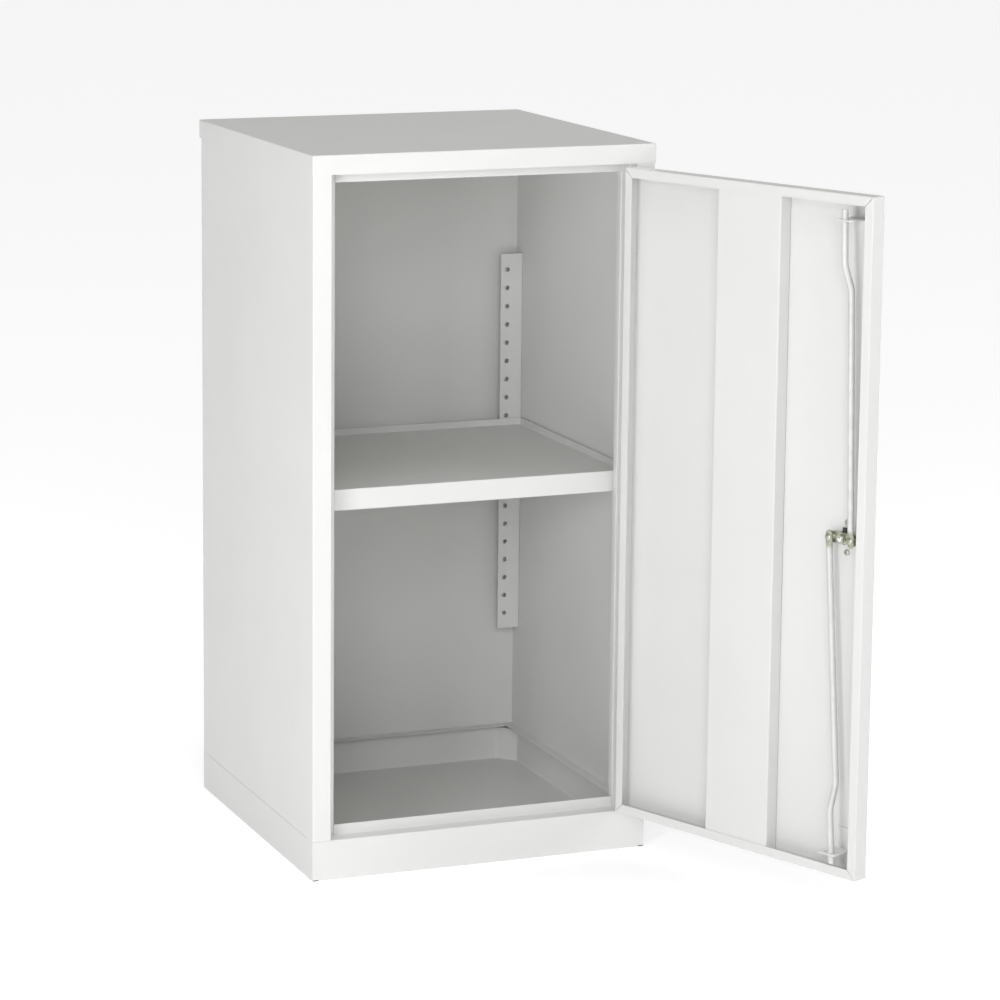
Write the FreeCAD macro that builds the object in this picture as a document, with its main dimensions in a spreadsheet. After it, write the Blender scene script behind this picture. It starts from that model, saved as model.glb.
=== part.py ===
import FreeCAD, Part
import os
import Sketcher

# One-door steel storage cabinet with a loose shelf and a two-rod door lock.
# The frame has its origin on the floor under the middle of the cap, +Z up and the door opening towards -Y.
# At rest the door stands open, with the lock turned back and both rods drawn in.

document = FreeCAD.newDocument("storage_cabinet")

# Driving sizes in millimetres, angles in degrees.
driving_sizes = {
    # whole cabinet
    "cap_width": 457,
    "cap_depth": 457,
    "cabinet_height": 915,
    "panel_sheet": 1.0,
    "cap_lip": 24.5,
    "rear_overhang": 4.5,
    "plinth_height": 51,
    "stile_width": 25,
    "stop_width": 11.5,
    "stop_return": 10,
    "rear_flange": 14,
    "header_drop": 12,
    "header_flange": 20,
    "sill_rise": 13,
    "plinth_flange": 14,
    "sump_rise": 46,
    "pad_leg": 24,
    "pad_height": 8,
    "pad_show": 7,
    "pad_show_height": 1.2,
    # shelf and its supports
    "strip_sheet": 1.2,
    "strip_face": 32,
    "strip_side": 15,
    "strip_rise": 143,
    "front_strip_setback": 35,
    "rear_strip_setback": 21.2,
    "strip_hole_diameter": 6.5,
    "strip_hole_pitch": 25.4,
    "strip_hole_count": 20,
    "strip_top_margin": 21.8,
    "strip_bottom_margin": 21.6,
    "strip_hole_inset": 22.5,
    "holes_above_shelf_count": 9,
    "clip_sheet": 1.5,
    "clip_width": 18,
    "clip_plate_rise": 5,
    "clip_ledge_drop": 5,
    "clip_ledge": 12,
    "clip_peg_clearance": 0.3,
    "shelf_end_clearance": 1.3,
    "shelf_face_clearance": 0.5,
    "shelf_depth_of_skirt": 27,
    "shelf_rim": 9,
    "shelf_fold": 3,
    "shelf_return": 14,
    # door
    "door_thickness": 21.5,
    "door_seat_gap": 0.8,
    "hinge_gap": 2.8,
    "lock_gap": 2.0,
    "door_top_gap": 3.5,
    "door_bottom_gap": 2.0,
    "door_lip": 12,
    "mitre_gap": 0.5,
    "door_open_angle": 112.5,
    "stiffener_width": 102,
    "stiffener_setback": 155,
    "stiffener_foot": 14,
    # hinges
    "hinge_radius": 3.2,
    "hinge_pin_radius": 1.5,
    "hinge_running_clearance": 0.06,
    "hinge_height": 62,
    "hinge_pin_grip": 15.5,
    "hinge_setback": 110,
    "hinge_leaf": 1.0,
    "hinge_leaf_depth": 18,
    "hinge_relief": 0.4,
    "hinge_washer": 0.6,
    "hinge_washer_clearance": 0.1,
    # lock and rods
    "lock_backset": 42,
    "cam_reach": 16.8,
    "cam_width": 14,
    "cam_sheet": 3,
    "cam_bevel": 2.8,
    "cam_depth": 7.5,
    "limit_washer_radius": 8.5,
    "limit_washer_thickness": 2,
    "limit_washer_ear": 13,
    "limit_washer_ear_width": 5.6,
    "spindle_radius": 6,
    "spindle_square": 8,
    "spindle_thread_radius": 3,
    "spindle_reach": 18,
    "lock_running_clearance": 0.06,
    "cam_washer_radius": 7,
    "cam_washer_thickness": 1,
    "cam_nut_across_corners": 11.5,
    "cam_nut_thickness": 5,
    "rod_pin_radius": 3,
    "rod_pin_head_radius": 4.2,
    "rod_pin_head": 1.2,
    "rod_side_clearance": 0.3,
    "rod_radius": 4,
    "rod_depth": 15.5,
    "rod_eye_thickness": 4.4,
    "rod_eye_width": 9.6,
    "rod_eye_height": 17.5,
    "rod_tip_depth": 27.7,
    "rod_bend_length": 30,
    "rod_bend_to_guide": 54,
    "rod_tip_setback": 16.5,
    "guide_setback": 29,
    "guide_offset": 7,
    "upper_rod_offset": 5,
    "lower_rod_offset": 9.5,
    "guide_width": 26,
    "guide_sheet": 1.5,
    "guide_foot": 28,
    "guide_slot": 14.4,
    "guide_slot_clearance": 0.5,
    "guide_end_wall": 2,
    "handle_base_width": 34,
    "handle_base_height": 66,
    "handle_base_thickness": 5,
    "handle_base_corner": 6,
    "handle_snout_radius": 10,
    "handle_snout_reach": 4.5,
    "handle_hole_clearance": 0.5,
    "handle_screw_spacing": 37,
    "handle_screw_radius": 2,
    "handle_screw_head_radius": 3.7,
    "handle_screw_head": 2.4,
    "handle_screw_slot": 1,
    "handle_hub_radius": 14,
    "handle_hub_reach": 25,
    "handle_face_clearance": 0.3,
    "handle_arm_length": 112,
    "handle_arm_root": 20,
    "handle_arm_tip": 15,
    "handle_arm_thickness": 9,
    "handle_edge_radius": 2,
    "plug_radius": 5.5,
    "plug_length": 13,
    "keyway_width": 1.6,
    "keyway_height": 7,
    "keyway_depth": 9,
    # one overrun serves every cut
    "cut_over": 2,
}

sheet = document.addObject("Spreadsheet::Sheet", "size")
for row, (alias, number) in enumerate(driving_sizes.items(), start=1):
    sheet.set(f"A{row}", alias)
    sheet.set(f"B{row}", str(number))
    sheet.setAlias(f"B{row}", alias)
document.recompute()

# Places that follow from the driving sizes, written as expressions of the sheet.
body_half = "(size.cap_width / 2 - size.panel_sheet)"
body_front = "(-size.cap_depth / 2 + size.panel_sheet)"
body_back = "(size.cap_depth / 2 - size.panel_sheet - size.rear_overhang)"
inner_half = f"({body_half} - size.panel_sheet)"
opening_half = f"({body_half} - size.stile_width)"
stop_half = f"({opening_half} - size.stop_width)"
rebate_depth = "(size.door_thickness + size.door_seat_gap)"
stop_front = f"({body_front} + {rebate_depth})"
cap_under = "(size.cabinet_height - size.panel_sheet)"
lip_bottom = "(size.cabinet_height - size.cap_lip)"
back_panel_front = f"({body_back} - 2 * size.panel_sheet)"
cap_front = "(-size.cap_depth / 2)"

pivot_x = f"({opening_half} - size.hinge_gap / 2)"
pivot_y = body_front
door_width = f"(2 * {opening_half} - size.hinge_gap - size.lock_gap)"
door_bottom = "(size.plinth_height + size.door_bottom_gap)"
door_top = f"({lip_bottom} - size.door_top_gap)"
hinge_edge = "(-size.hinge_gap / 2)"
free_edge = f"({hinge_edge} - {door_width})"
lock_x = f"({free_edge} + size.lock_backset)"
lock_z = f"(({door_bottom} + {door_top}) / 2)"
guide_distance = f"(({door_top} - {door_bottom}) / 2 - size.guide_setback)"
rod_bend_far = f"({guide_distance} - size.rod_bend_to_guide)"
rod_bend_near = f"({rod_bend_far} - size.rod_bend_length)"
upper_hinge_z = f"({door_top} - size.hinge_setback)"
lower_hinge_z = f"({door_bottom} + size.hinge_setback)"
hub_back = "(size.handle_base_thickness + size.handle_face_clearance)"
hub_front = f"({hub_back} + size.handle_hub_reach)"

strip_bottom = "(size.plinth_height + size.strip_rise)"
strip_hole_span = "(size.strip_hole_pitch * (size.strip_hole_count - 1))"
strip_hole_top = f"({strip_bottom} + size.strip_bottom_margin + {strip_hole_span})"
strip_length = f"(size.strip_bottom_margin + {strip_hole_span} + size.strip_top_margin)"
shelf_hole_z = f"({strip_hole_top} - size.holes_above_shelf_count * size.strip_hole_pitch)"
shelf_bottom = f"({shelf_hole_z} - size.clip_ledge_drop)"
shelf_top = f"({shelf_bottom} + size.shelf_depth_of_skirt)"
shelf_floor = f"({shelf_top} - size.shelf_rim)"
front_strip_face = f"({cap_front} + size.front_strip_setback + size.strip_sheet)"
rear_strip_face = f"({back_panel_front} - size.rear_strip_setback)"

nodes = []


def number(expression):
    """The present value of an expression of the sheet."""
    return float(sheet.evalExpression(str(expression)))


def place(x="0", y="0", z="0", axis=("0", "0", "1"), angle="0"):
    """A placement written as an expression: a turn about an axis, then a move."""
    turn = f"create(<<rotation>>; create(<<vector>>; {axis[0]}; {axis[1]}; {axis[2]}); {angle})"
    return f"create(<<placement>>; create(<<vector>>; {x}; {y}; {z}); {turn})"


# The door's own frame: its origin on the hinge line, turned from closed to the open rest position.
door_frame = place(pivot_x, pivot_y, angle="size.door_open_angle")


def keep(piece, label, placement=None):
    """Name a finished sub-part and seat it."""
    piece.Label = label
    if placement is not None:
        piece.setExpression("Placement", placement)
    nodes.append(piece)
    return piece


def new_body(name):
    return document.addObject("PartDesign::Body", name)


def new_sketch(body, role, offset=None):
    """A sketch on one of the body's own origin planes, moved along the plane's normal."""
    plane = [feature for feature in body.Origin.OriginFeatures if feature.Role == role][0]
    drawing = body.newObject("Sketcher::SketchObject", f"{body.Name}_sketch")
    drawing.AttachmentSupport = (plane, "")
    drawing.MapMode = "FlatFace"
    if offset is not None:
        drawing.setExpression("AttachmentOffset.Base.z", offset)
    return drawing


def bind(drawing, kind, *items):
    """Add a constraint whose value follows an expression, the last item."""
    expression = items[-1]
    constraint = drawing.addConstraint(Sketcher.Constraint(kind, *items[:-1], number(expression)))
    drawing.setExpression(f"Constraints[{constraint}]", str(expression))


def polygon(drawing, corners):
    """A closed outline through corners, each tied to the sketch origin by two expressions."""
    first = len(drawing.Geometry)
    points = [FreeCAD.Vector(number(across), number(up), 0) for across, up in corners]
    count = len(points)
    for index in range(count):
        drawing.addGeometry(Part.LineSegment(points[index], points[(index + 1) % count]), False)
    for index in range(count):
        following = first + (index + 1) % count
        drawing.addConstraint(Sketcher.Constraint("Coincident", first + index, 2, following, 1))
    for index, (across, up) in enumerate(corners):
        bind(drawing, "DistanceX", -1, 1, first + index, 1, across)
        bind(drawing, "DistanceY", -1, 1, first + index, 1, up)


def rectangle(drawing, left, right, low, high):
    polygon(drawing, [(left, low), (right, low), (right, high), (left, high)])


def circle(drawing, across, up, radius):
    centre = FreeCAD.Vector(number(across), number(up), 0)
    index = drawing.addGeometry(Part.Circle(centre, FreeCAD.Vector(0, 0, 1), number(radius)), False)
    bind(drawing, "DistanceX", -1, 1, index, 3, across)
    bind(drawing, "DistanceY", -1, 1, index, 3, up)
    bind(drawing, "Radius", index, radius)


def hexagon(drawing, radius):
    """A regular six-sided outline about the sketch origin."""
    half_height_share = 3 ** 0.5 / 2
    corners = []
    for across_share, up_share in ((1, 0), (0.5, 1), (-0.5, 1), (-1, 0), (-0.5, -1), (0.5, -1)):
        corners.append((f"{across_share} * {radius}", f"{up_share * half_height_share} * {radius}"))
    polygon(drawing, corners)


def pad(body, drawing, length, middle=False, backwards=False):
    document.recompute()
    feature = body.newObject("PartDesign::Pad", f"{body.Name}_pad")
    feature.Profile = drawing
    feature.setExpression("Length", length)
    feature.Midplane = middle
    feature.Reversed = backwards
    document.recompute()
    return feature


def pocket(body, drawing, length, backwards=False):
    """Cut a sketch into the body, and stop the build if it removed nothing."""
    document.recompute()
    before = body.Shape.Volume
    feature = body.newObject("PartDesign::Pocket", f"{body.Name}_pocket")
    feature.Profile = drawing
    feature.setExpression("Length", length)
    feature.Reversed = backwards
    document.recompute()
    if body.Shape.Volume >= before:
        raise RuntimeError(f"{feature.Name} cut nothing")
    return feature


def revolve(body, drawing):
    """Turn a half section about the sketch's upright axis."""
    document.recompute()
    feature = body.newObject("PartDesign::Revolution", f"{body.Name}_revolution")
    feature.Profile = drawing
    feature.ReferenceAxis = (drawing, ["V_Axis"])
    feature.Angle = 360
    document.recompute()
    return feature


def box(name, low, high, placement=None):
    """A block between two corners given as expressions."""
    block = document.addObject("Part::Box", name)
    for side, low_end, high_end in zip(("Length", "Width", "Height"), low, high):
        block.setExpression(side, f"({high_end}) - ({low_end})")
    corner = place(*low)
    block.setExpression("Placement", corner if placement is None else f"{placement} * {corner}")
    return block


def cylinder(name, radius, low, high, across="0", up="0", along="z"):
    """A round bar along x, y or z between two ends, centred on the other two axes in order."""
    bar = document.addObject("Part::Cylinder", name)
    bar.setExpression("Radius", radius)
    bar.setExpression("Height", f"({high}) - ({low})")
    if along == "z":
        seat = place(across, up, low)
    elif along == "y":
        seat = place(across, low, up, axis=("1", "0", "0"), angle="-90")
    else:
        seat = place(low, across, up, axis=("0", "1", "0"), angle="90")
    bar.setExpression("Placement", seat)
    return bar


def cut(name, base, tool):
    result = document.addObject("Part::Cut", name)
    result.Base = base
    result.Tool = tool
    return result


def fuse(name, pieces):
    result = document.addObject("Part::MultiFuse", name)
    result.Shapes = pieces
    return result


def group(name, pieces):
    """Separate like pieces that share one node."""
    result = document.addObject("Part::Compound", name)
    result.Links = pieces
    return result


# Side panels: each is one folded sheet with the front stile, the rebate wall and the door stop.
def side_panel(name, sign):
    body = new_body(name)
    outline = new_sketch(body, "XY_Plane")
    sheet_t = "size.panel_sheet"
    flange_in = f"({body_half} - size.rear_flange)"
    return_end = f"({stop_front} + size.stop_return)"
    outer = [
        (flange_in, body_back),
        (body_half, body_back),
        (body_half, body_front),
        (opening_half, body_front),
        (opening_half, stop_front),
        (stop_half, stop_front),
        (stop_half, return_end),
    ]
    inner = [
        (f"{stop_half} + {sheet_t}", return_end),
        (f"{stop_half} + {sheet_t}", f"{stop_front} + {sheet_t}"),
        (f"{opening_half} + {sheet_t}", f"{stop_front} + {sheet_t}"),
        (f"{opening_half} + {sheet_t}", f"{body_front} + {sheet_t}"),
        (f"{body_half} - {sheet_t}", f"{body_front} + {sheet_t}"),
        (f"{body_half} - {sheet_t}", f"{body_back} - {sheet_t}"),
        (flange_in, f"{body_back} - {sheet_t}"),
    ]
    polygon(outline, [(f"{sign} * ({across})", up) for across, up in outer + inner])
    pad(body, outline, f"{cap_under} - size.plinth_height")
    return body


left_side = side_panel("left_side_body", -1)
keep(left_side, "left_side", place(z="size.plinth_height"))


# The right side is notched where the hinge barrels sit in its front corner.
def hinge_notch(name, middle_z, sign, placement=None):
    """The space a hinge barrel takes from the corner beside it, on one side of the hinge line."""
    reach = "(size.hinge_radius + size.hinge_relief)"
    low_x = "0" if sign > 0 else f"-{reach}"
    high_x = reach if sign > 0 else "0"
    half = "(size.hinge_height / 2 + size.hinge_relief)"
    low = (low_x, "-size.cut_over", f"{middle_z} - {half}")
    high = (high_x, reach, f"{middle_z} + {half}")
    return box(name, low, high, placement)


right_side_fold = side_panel("right_side_fold", 1)
right_side_fold.setExpression("Placement", place(z="size.plinth_height"))
stile_notches = []
for notch_name, notch_z in (("stile_notch_upper", upper_hinge_z), ("stile_notch_lower", lower_hinge_z)):
    stile_notches.append(hinge_notch(notch_name, notch_z, 1, place(pivot_x, pivot_y)))
keep(cut("right_side_cut", right_side_fold, group("stile_notches", stile_notches)), "right_side")


# Back panel: a flat sheet inside the rear flanges of both sides.
back_panel = box(
    "back_panel_box",
    (f"-{inner_half}", back_panel_front, "size.plinth_height"),
    (inner_half, f"{back_panel_front} + size.panel_sheet", cap_under),
)
keep(back_panel, "back_panel")


# Top cap: a shallow folded lid whose lips lap over the sides and hang past the back.
cap_outer = box(
    "cap_outer",
    ("-size.cap_width / 2", "-size.cap_depth / 2", lip_bottom),
    ("size.cap_width / 2", "size.cap_depth / 2", "size.cabinet_height"),
)
cap_inner = box(
    "cap_inner",
    (f"-{body_half}", body_front, f"{lip_bottom} - size.cut_over"),
    (body_half, "size.cap_depth / 2 - size.panel_sheet", cap_under),
)
keep(cut("top_cap_cut", cap_outer, cap_inner), "top_cap")


# Header rail: the upper door stop, open behind so that the upper rod can pass.
header_rail = new_body("header_rail_body")
header_outline = new_sketch(header_rail, "YZ_Plane")
header_bottom = f"({lip_bottom} - size.header_drop)"
polygon(header_outline, [
    (stop_front, header_bottom),
    (f"{stop_front} + size.panel_sheet", header_bottom),
    (f"{stop_front} + size.panel_sheet", f"{cap_under} - size.panel_sheet"),
    (f"{stop_front} + size.header_flange", f"{cap_under} - size.panel_sheet"),
    (f"{stop_front} + size.header_flange", cap_under),
    (stop_front, cap_under),
])
pad(header_rail, header_outline, f"2 * {stop_half}", middle=True)
keep(header_rail, "header_rail")


# Plinth front: the kick face, the rebate floor under the door and the lower door stop.
plinth_front = new_body("plinth_front_body")
kick_outline = new_sketch(plinth_front, "YZ_Plane")
ledge_under = "(size.plinth_height - size.panel_sheet)"
polygon(kick_outline, [
    (body_front, "0"),
    (f"{body_front} + size.panel_sheet", "0"),
    (f"{body_front} + size.panel_sheet", ledge_under),
    (f"{stop_front} + size.panel_sheet", ledge_under),
    (f"{stop_front} + size.panel_sheet", "size.plinth_height"),
    (body_front, "size.plinth_height"),
])
pad(plinth_front, kick_outline, f"2 * {body_half}", middle=True)
sill_outline = new_sketch(plinth_front, "YZ_Plane")
rectangle(sill_outline, stop_front, f"{stop_front} + size.panel_sheet", ledge_under,
          "size.plinth_height + size.sill_rise")
pad(plinth_front, sill_outline, f"2 * {stop_half}", middle=True)
show_outline = new_sketch(plinth_front, "XZ_Plane", f"-{body_front} + size.cut_over")
for show_sign in (-1, 1):
    show_ends = [f"{show_sign} * ({inner_half} - size.pad_show)", f"{show_sign} * ({inner_half})"]
    if show_sign < 0:
        show_ends.reverse()
    rectangle(show_outline, show_ends[0], show_ends[1], "-size.cut_over", "size.pad_show_height")
pocket(plinth_front, show_outline, "2 * size.cut_over")
keep(plinth_front, "plinth_front")


# Plinth sides: upright strips with a ledge turned inwards that carries the side panels.
def plinth_side(name, sign):
    body = new_body(name)
    outline = new_sketch(body, "XZ_Plane", f"-{body_back} + size.panel_sheet")
    across = [body_half, body_half, f"{inner_half} - size.plinth_flange",
              f"{inner_half} - size.plinth_flange", inner_half, inner_half]
    up = ["0", "size.plinth_height", "size.plinth_height", ledge_under, ledge_under, "0"]
    polygon(outline, [(f"{sign} * ({x})", z) for x, z in zip(across, up)])
    pad(body, outline, f"{body_back} - {body_front} - 2 * size.panel_sheet")
    ledge_end = new_sketch(body, "XY_Plane", ledge_under)
    ends = [f"{sign} * ({inner_half} - size.plinth_flange - size.cut_over)",
            f"{sign} * ({body_half} + size.cut_over)"]
    if sign < 0:
        ends.reverse()
    rectangle(ledge_end, ends[0], ends[1], body_front, f"{stop_front} + size.panel_sheet")
    pocket(body, ledge_end, "size.cut_over", backwards=True)
    return body


keep(plinth_side("plinth_left_body", -1), "plinth_left")
keep(plinth_side("plinth_right_body", 1), "plinth_right")

plinth_back = new_body("plinth_back_body")
plinth_back_outline = new_sketch(plinth_back, "YZ_Plane")
rectangle(plinth_back_outline, f"{body_back} - size.panel_sheet", body_back, "0", "size.plinth_height")
pad(plinth_back, plinth_back_outline, f"2 * {body_half}", middle=True)
rear_ledge_outline = new_sketch(plinth_back, "YZ_Plane")
rectangle(rear_ledge_outline, f"{body_back} - size.panel_sheet - size.plinth_flange",
          body_back, ledge_under, "size.plinth_height")
pad(plinth_back, rear_ledge_outline, f"2 * ({inner_half} - size.plinth_flange)", middle=True)
keep(plinth_back, "plinth_back")


# Sump tray: the liquid-tight floor inside the plinth, with its four corners cut for the pads.
sump_front = f"({body_front} + size.panel_sheet)"
sump_back = f"({body_back} - size.panel_sheet)"


def cut_corner_plan(inset):
    """The plan of the tray, drawn in from its outside by an inset that is even along the cut corners too."""
    leg_share = 2 - 2 ** 0.5
    cut_leg = f"(size.pad_leg - {leg_share} * ({inset}))"
    right = f"({inner_half} - {inset})"
    left = f"(-{right})"
    near = f"({sump_front} + {inset})"
    far = f"({sump_back} - {inset})"
    return [
        (f"{left} + {cut_leg}", near), (f"{right} - {cut_leg}", near),
        (right, f"{near} + {cut_leg}"), (right, f"{far} - {cut_leg}"),
        (f"{right} - {cut_leg}", far), (f"{left} + {cut_leg}", far),
        (left, f"{far} - {cut_leg}"), (left, f"{near} + {cut_leg}"),
    ]


sump_tray = new_body("sump_tray_body")
sump_outline = new_sketch(sump_tray, "XY_Plane")
polygon(sump_outline, cut_corner_plan("0"))
pad(sump_tray, sump_outline, "size.sump_rise")
sump_hollow = new_sketch(sump_tray, "XY_Plane", "size.panel_sheet")
polygon(sump_hollow, cut_corner_plan("size.panel_sheet"))
pocket(sump_tray, sump_hollow, "size.sump_rise", backwards=True)
keep(sump_tray, "sump_tray")


# Corner pads: four black plastic glides in the corners that the tray leaves free.
def corner_pad(name, sign_x, at_front):
    body = new_body(name)
    outline = new_sketch(body, "XY_Plane")
    corner_y = sump_front if at_front else sump_back
    leg_y = f"{corner_y} {'+' if at_front else '-'} size.pad_leg"
    polygon(outline, [
        (f"{sign_x} * {inner_half}", corner_y),
        (f"{sign_x} * ({inner_half} - size.pad_leg)", corner_y),
        (f"{sign_x} * {inner_half}", leg_y),
    ])
    pad(body, outline, "size.pad_height")
    if at_front:
        toe = new_sketch(body, "XY_Plane")
        toe_ends = [f"{sign_x} * ({inner_half} - size.pad_show)", f"{sign_x} * {inner_half}"]
        if sign_x < 0:
            toe_ends.reverse()
        rectangle(toe, toe_ends[0], toe_ends[1], body_front, f"{corner_y} + size.panel_sheet")
        pad(body, toe, "size.pad_show_height")
    return body


pads = []
for pad_number, (pad_sign, pad_front) in enumerate(((-1, True), (1, True), (-1, False), (1, False))):
    pads.append(corner_pad(f"corner_pad_{pad_number}", pad_sign, pad_front))
keep(group("corner_pad_group", pads), "corner_pads")


# Shelf strips: punched angles in the four corners, their faces looking at the shelf.
def shelf_strip(name, sign, front):
    body = new_body(name)
    outline = new_sketch(body, "XY_Plane")
    inwards = f"({inner_half} - size.strip_face)"
    if front:
        face, back = front_strip_face, f"({front_strip_face} - size.strip_sheet)"
        leg_end = f"({front_strip_face} - size.strip_side)"
    else:
        face, back = rear_strip_face, f"({rear_strip_face} + size.strip_sheet)"
        leg_end = f"({rear_strip_face} + size.strip_side)"
    leg_inner = f"({inner_half} - size.strip_sheet)"
    corners = [(inwards, face), (inner_half, face), (inner_half, leg_end),
               (leg_inner, leg_end), (leg_inner, back), (inwards, back)]
    polygon(outline, [(f"{sign} * {across}", up) for across, up in corners])
    pad(body, outline, strip_length)
    hole = new_sketch(body, "XZ_Plane", f"-{back}" if front else f"-{face}")
    circle(hole, f"{sign} * ({inner_half} - size.strip_hole_inset)",
           f"{strip_hole_top} - {strip_bottom}", "size.strip_hole_diameter / 2")
    punched = pocket(body, hole, "size.cut_over")
    holes = body.newObject("PartDesign::LinearPattern", f"{name}_holes")
    holes.Originals = [punched]
    holes.Direction = (hole, ["V_Axis"])
    holes.Reversed = True
    holes.setExpression("Length", strip_hole_span)
    holes.setExpression("Occurrences", "size.strip_hole_count")
    body.Tip = holes
    return body


for strip_name, strip_sign, strip_front in (
    ("shelf_strip_front_left", -1, True),
    ("shelf_strip_front_right", 1, True),
    ("shelf_strip_rear_left", -1, False),
    ("shelf_strip_rear_right", 1, False),
):
    strip = shelf_strip(f"{strip_name}_body", strip_sign, strip_front)
    keep(strip, strip_name, place(z=strip_bottom))


# Shelf clips: a small folded plate on each strip, with a peg in the hole and a ledge under the shelf.
def shelf_clip(name, sign, front):
    """The clip is drawn at the strip's face, looking along its own +Y."""
    plate = box(
        f"{name}_plate",
        ("-size.clip_width / 2", "0", "-size.clip_ledge_drop - size.clip_sheet"),
        ("size.clip_width / 2", "size.clip_sheet", "size.clip_plate_rise"),
    )
    ledge = box(
        f"{name}_ledge",
        ("-size.clip_width / 2", "0", "-size.clip_ledge_drop - size.clip_sheet"),
        ("size.clip_width / 2", "size.clip_ledge", "-size.clip_ledge_drop"),
    )
    peg = cylinder(f"{name}_peg", "size.strip_hole_diameter / 2 - size.clip_peg_clearance",
                   "-2 * size.strip_sheet", "size.clip_sheet / 2", along="y")
    clip = fuse(name, [plate, ledge, peg])
    hole_x = f"{sign} * ({inner_half} - size.strip_hole_inset)"
    face = front_strip_face if front else rear_strip_face
    clip.setExpression("Placement", place(hole_x, face, shelf_hole_z, angle="0" if front else "180"))
    return clip


clips = []
for clip_number, (clip_sign, clip_front) in enumerate(((-1, True), (1, True), (-1, False), (1, False))):
    clips.append(shelf_clip(f"shelf_clip_{clip_number}", clip_sign, clip_front))
keep(group("shelf_clip_group", clips), "shelf_clips")


# Shelf: a shallow tray with a folded rim, deep skirts and a returned lower edge.
shelf_half = f"({inner_half} - size.shelf_end_clearance)"
shelf_near = f"({front_strip_face} + size.clip_sheet + size.shelf_face_clearance)"
shelf_far = f"({rear_strip_face} - size.clip_sheet - size.shelf_face_clearance)"


def shelf_block(name, inset, low, high):
    return box(
        name,
        (f"-{shelf_half} + {inset}", f"{shelf_near} + {inset}", low),
        (f"{shelf_half} - {inset}", f"{shelf_far} - {inset}", high),
    )


shelf_outer = shelf_block("shelf_outer", "0", shelf_bottom, shelf_top)
shelf_dish = shelf_block("shelf_dish", "size.shelf_fold", shelf_floor, f"{shelf_top} + size.cut_over")
shelf_under = shelf_block("shelf_under", "size.panel_sheet", f"{shelf_bottom} + size.panel_sheet",
                          f"{shelf_floor} - size.panel_sheet")
shelf_mouth = shelf_block("shelf_mouth", "size.shelf_return", f"{shelf_bottom} - size.cut_over",
                          f"{shelf_bottom} + 2 * size.panel_sheet")
rim_space_outer = shelf_block("rim_space_outer", "size.panel_sheet",
                              f"{shelf_floor} - 2 * size.panel_sheet", f"{shelf_top} - size.panel_sheet")
rim_space_inner = shelf_block("rim_space_inner", "size.shelf_fold - size.panel_sheet",
                              f"{shelf_floor} - size.shelf_rim", f"{shelf_top} + size.cut_over")
rim_space = cut("rim_space", rim_space_outer, rim_space_inner)
shelf_cuts = fuse("shelf_cuts", [shelf_dish, shelf_under, shelf_mouth, rim_space])
keep(cut("shelf_cut", shelf_outer, shelf_cuts), "shelf")


# Hinge leaves: a barrel on a flat leaf, welded to the rebate wall or to the door's edge.
def hinge_leaf(name, sign, low, high):
    """sign is +1 for the frame's leaf and -1 for the door's, about the hinge line."""
    bore = "(size.hinge_pin_radius + size.hinge_running_clearance)"
    barrel = cylinder(f"{name}_barrel", "size.hinge_radius", low, high)
    leaf_ends = ["(size.hinge_gap / 2 - size.hinge_leaf)", "(size.hinge_gap / 2)"]
    if sign < 0:
        leaf_ends = ["(-size.hinge_gap / 2)", "(size.hinge_leaf - size.hinge_gap / 2)"]
    leaf = box(f"{name}_plate", (leaf_ends[0], "0", low), (leaf_ends[1], "size.hinge_leaf_depth", high))
    solid = fuse(f"{name}_solid", [barrel, leaf])
    hollow = cylinder(f"{name}_bore", bore, f"{low} - size.cut_over", f"{high} + size.cut_over")
    return cut(name, solid, hollow)


washers = []
for hinge_name, hinge_z in (("upper_hinge", upper_hinge_z), ("lower_hinge", lower_hinge_z)):
    washer_top = f"{hinge_z} + size.hinge_washer"
    door_low = f"{washer_top} + size.hinge_washer_clearance"
    hinge_low = f"{hinge_z} - size.hinge_height / 2"
    hinge_high = f"{hinge_z} + size.hinge_height / 2"
    frame_leaf = hinge_leaf(f"{hinge_name}_frame", 1, hinge_low, hinge_z)
    keep(frame_leaf, f"{hinge_name}_frame_leaf", place(pivot_x, pivot_y))
    door_leaf = hinge_leaf(f"{hinge_name}_door", -1, door_low, hinge_high)
    keep(door_leaf, f"{hinge_name}_door_leaf", door_frame)
    pin = cylinder(f"{hinge_name}_pin_bar", "size.hinge_pin_radius", hinge_low, hinge_high)
    foot = cylinder(f"{hinge_name}_pin_foot", "size.hinge_pin_radius + size.hinge_running_clearance",
                    hinge_low, f"{hinge_low} + size.hinge_pin_grip")
    keep(fuse(f"{hinge_name}_pin_fuse", [pin, foot]), f"{hinge_name}_pin", place(pivot_x, pivot_y))
    washer_disc = cylinder(f"{hinge_name}_washer_disc", "size.hinge_radius", hinge_z, washer_top)
    washer_bore = cylinder(f"{hinge_name}_washer_bore",
                           "size.hinge_pin_radius + size.hinge_running_clearance",
                           f"{hinge_z} - size.cut_over", f"{washer_top} + size.cut_over")
    washer = cut(f"{hinge_name}_washer", washer_disc, washer_bore)
    washer.setExpression("Placement", place(pivot_x, pivot_y))
    washers.append(washer)
keep(group("hinge_washer_group", washers), "hinge_washers")


# Door panel: a pan with four returns and mitred inner lips, notched for the hinge barrels.
def door_block(name, inset, near, far):
    return box(
        name,
        (f"{free_edge} + {inset}", near, f"{door_bottom} + {inset}"),
        (f"{hinge_edge} - {inset}", far, f"{door_top} - {inset}"),
    )


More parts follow.
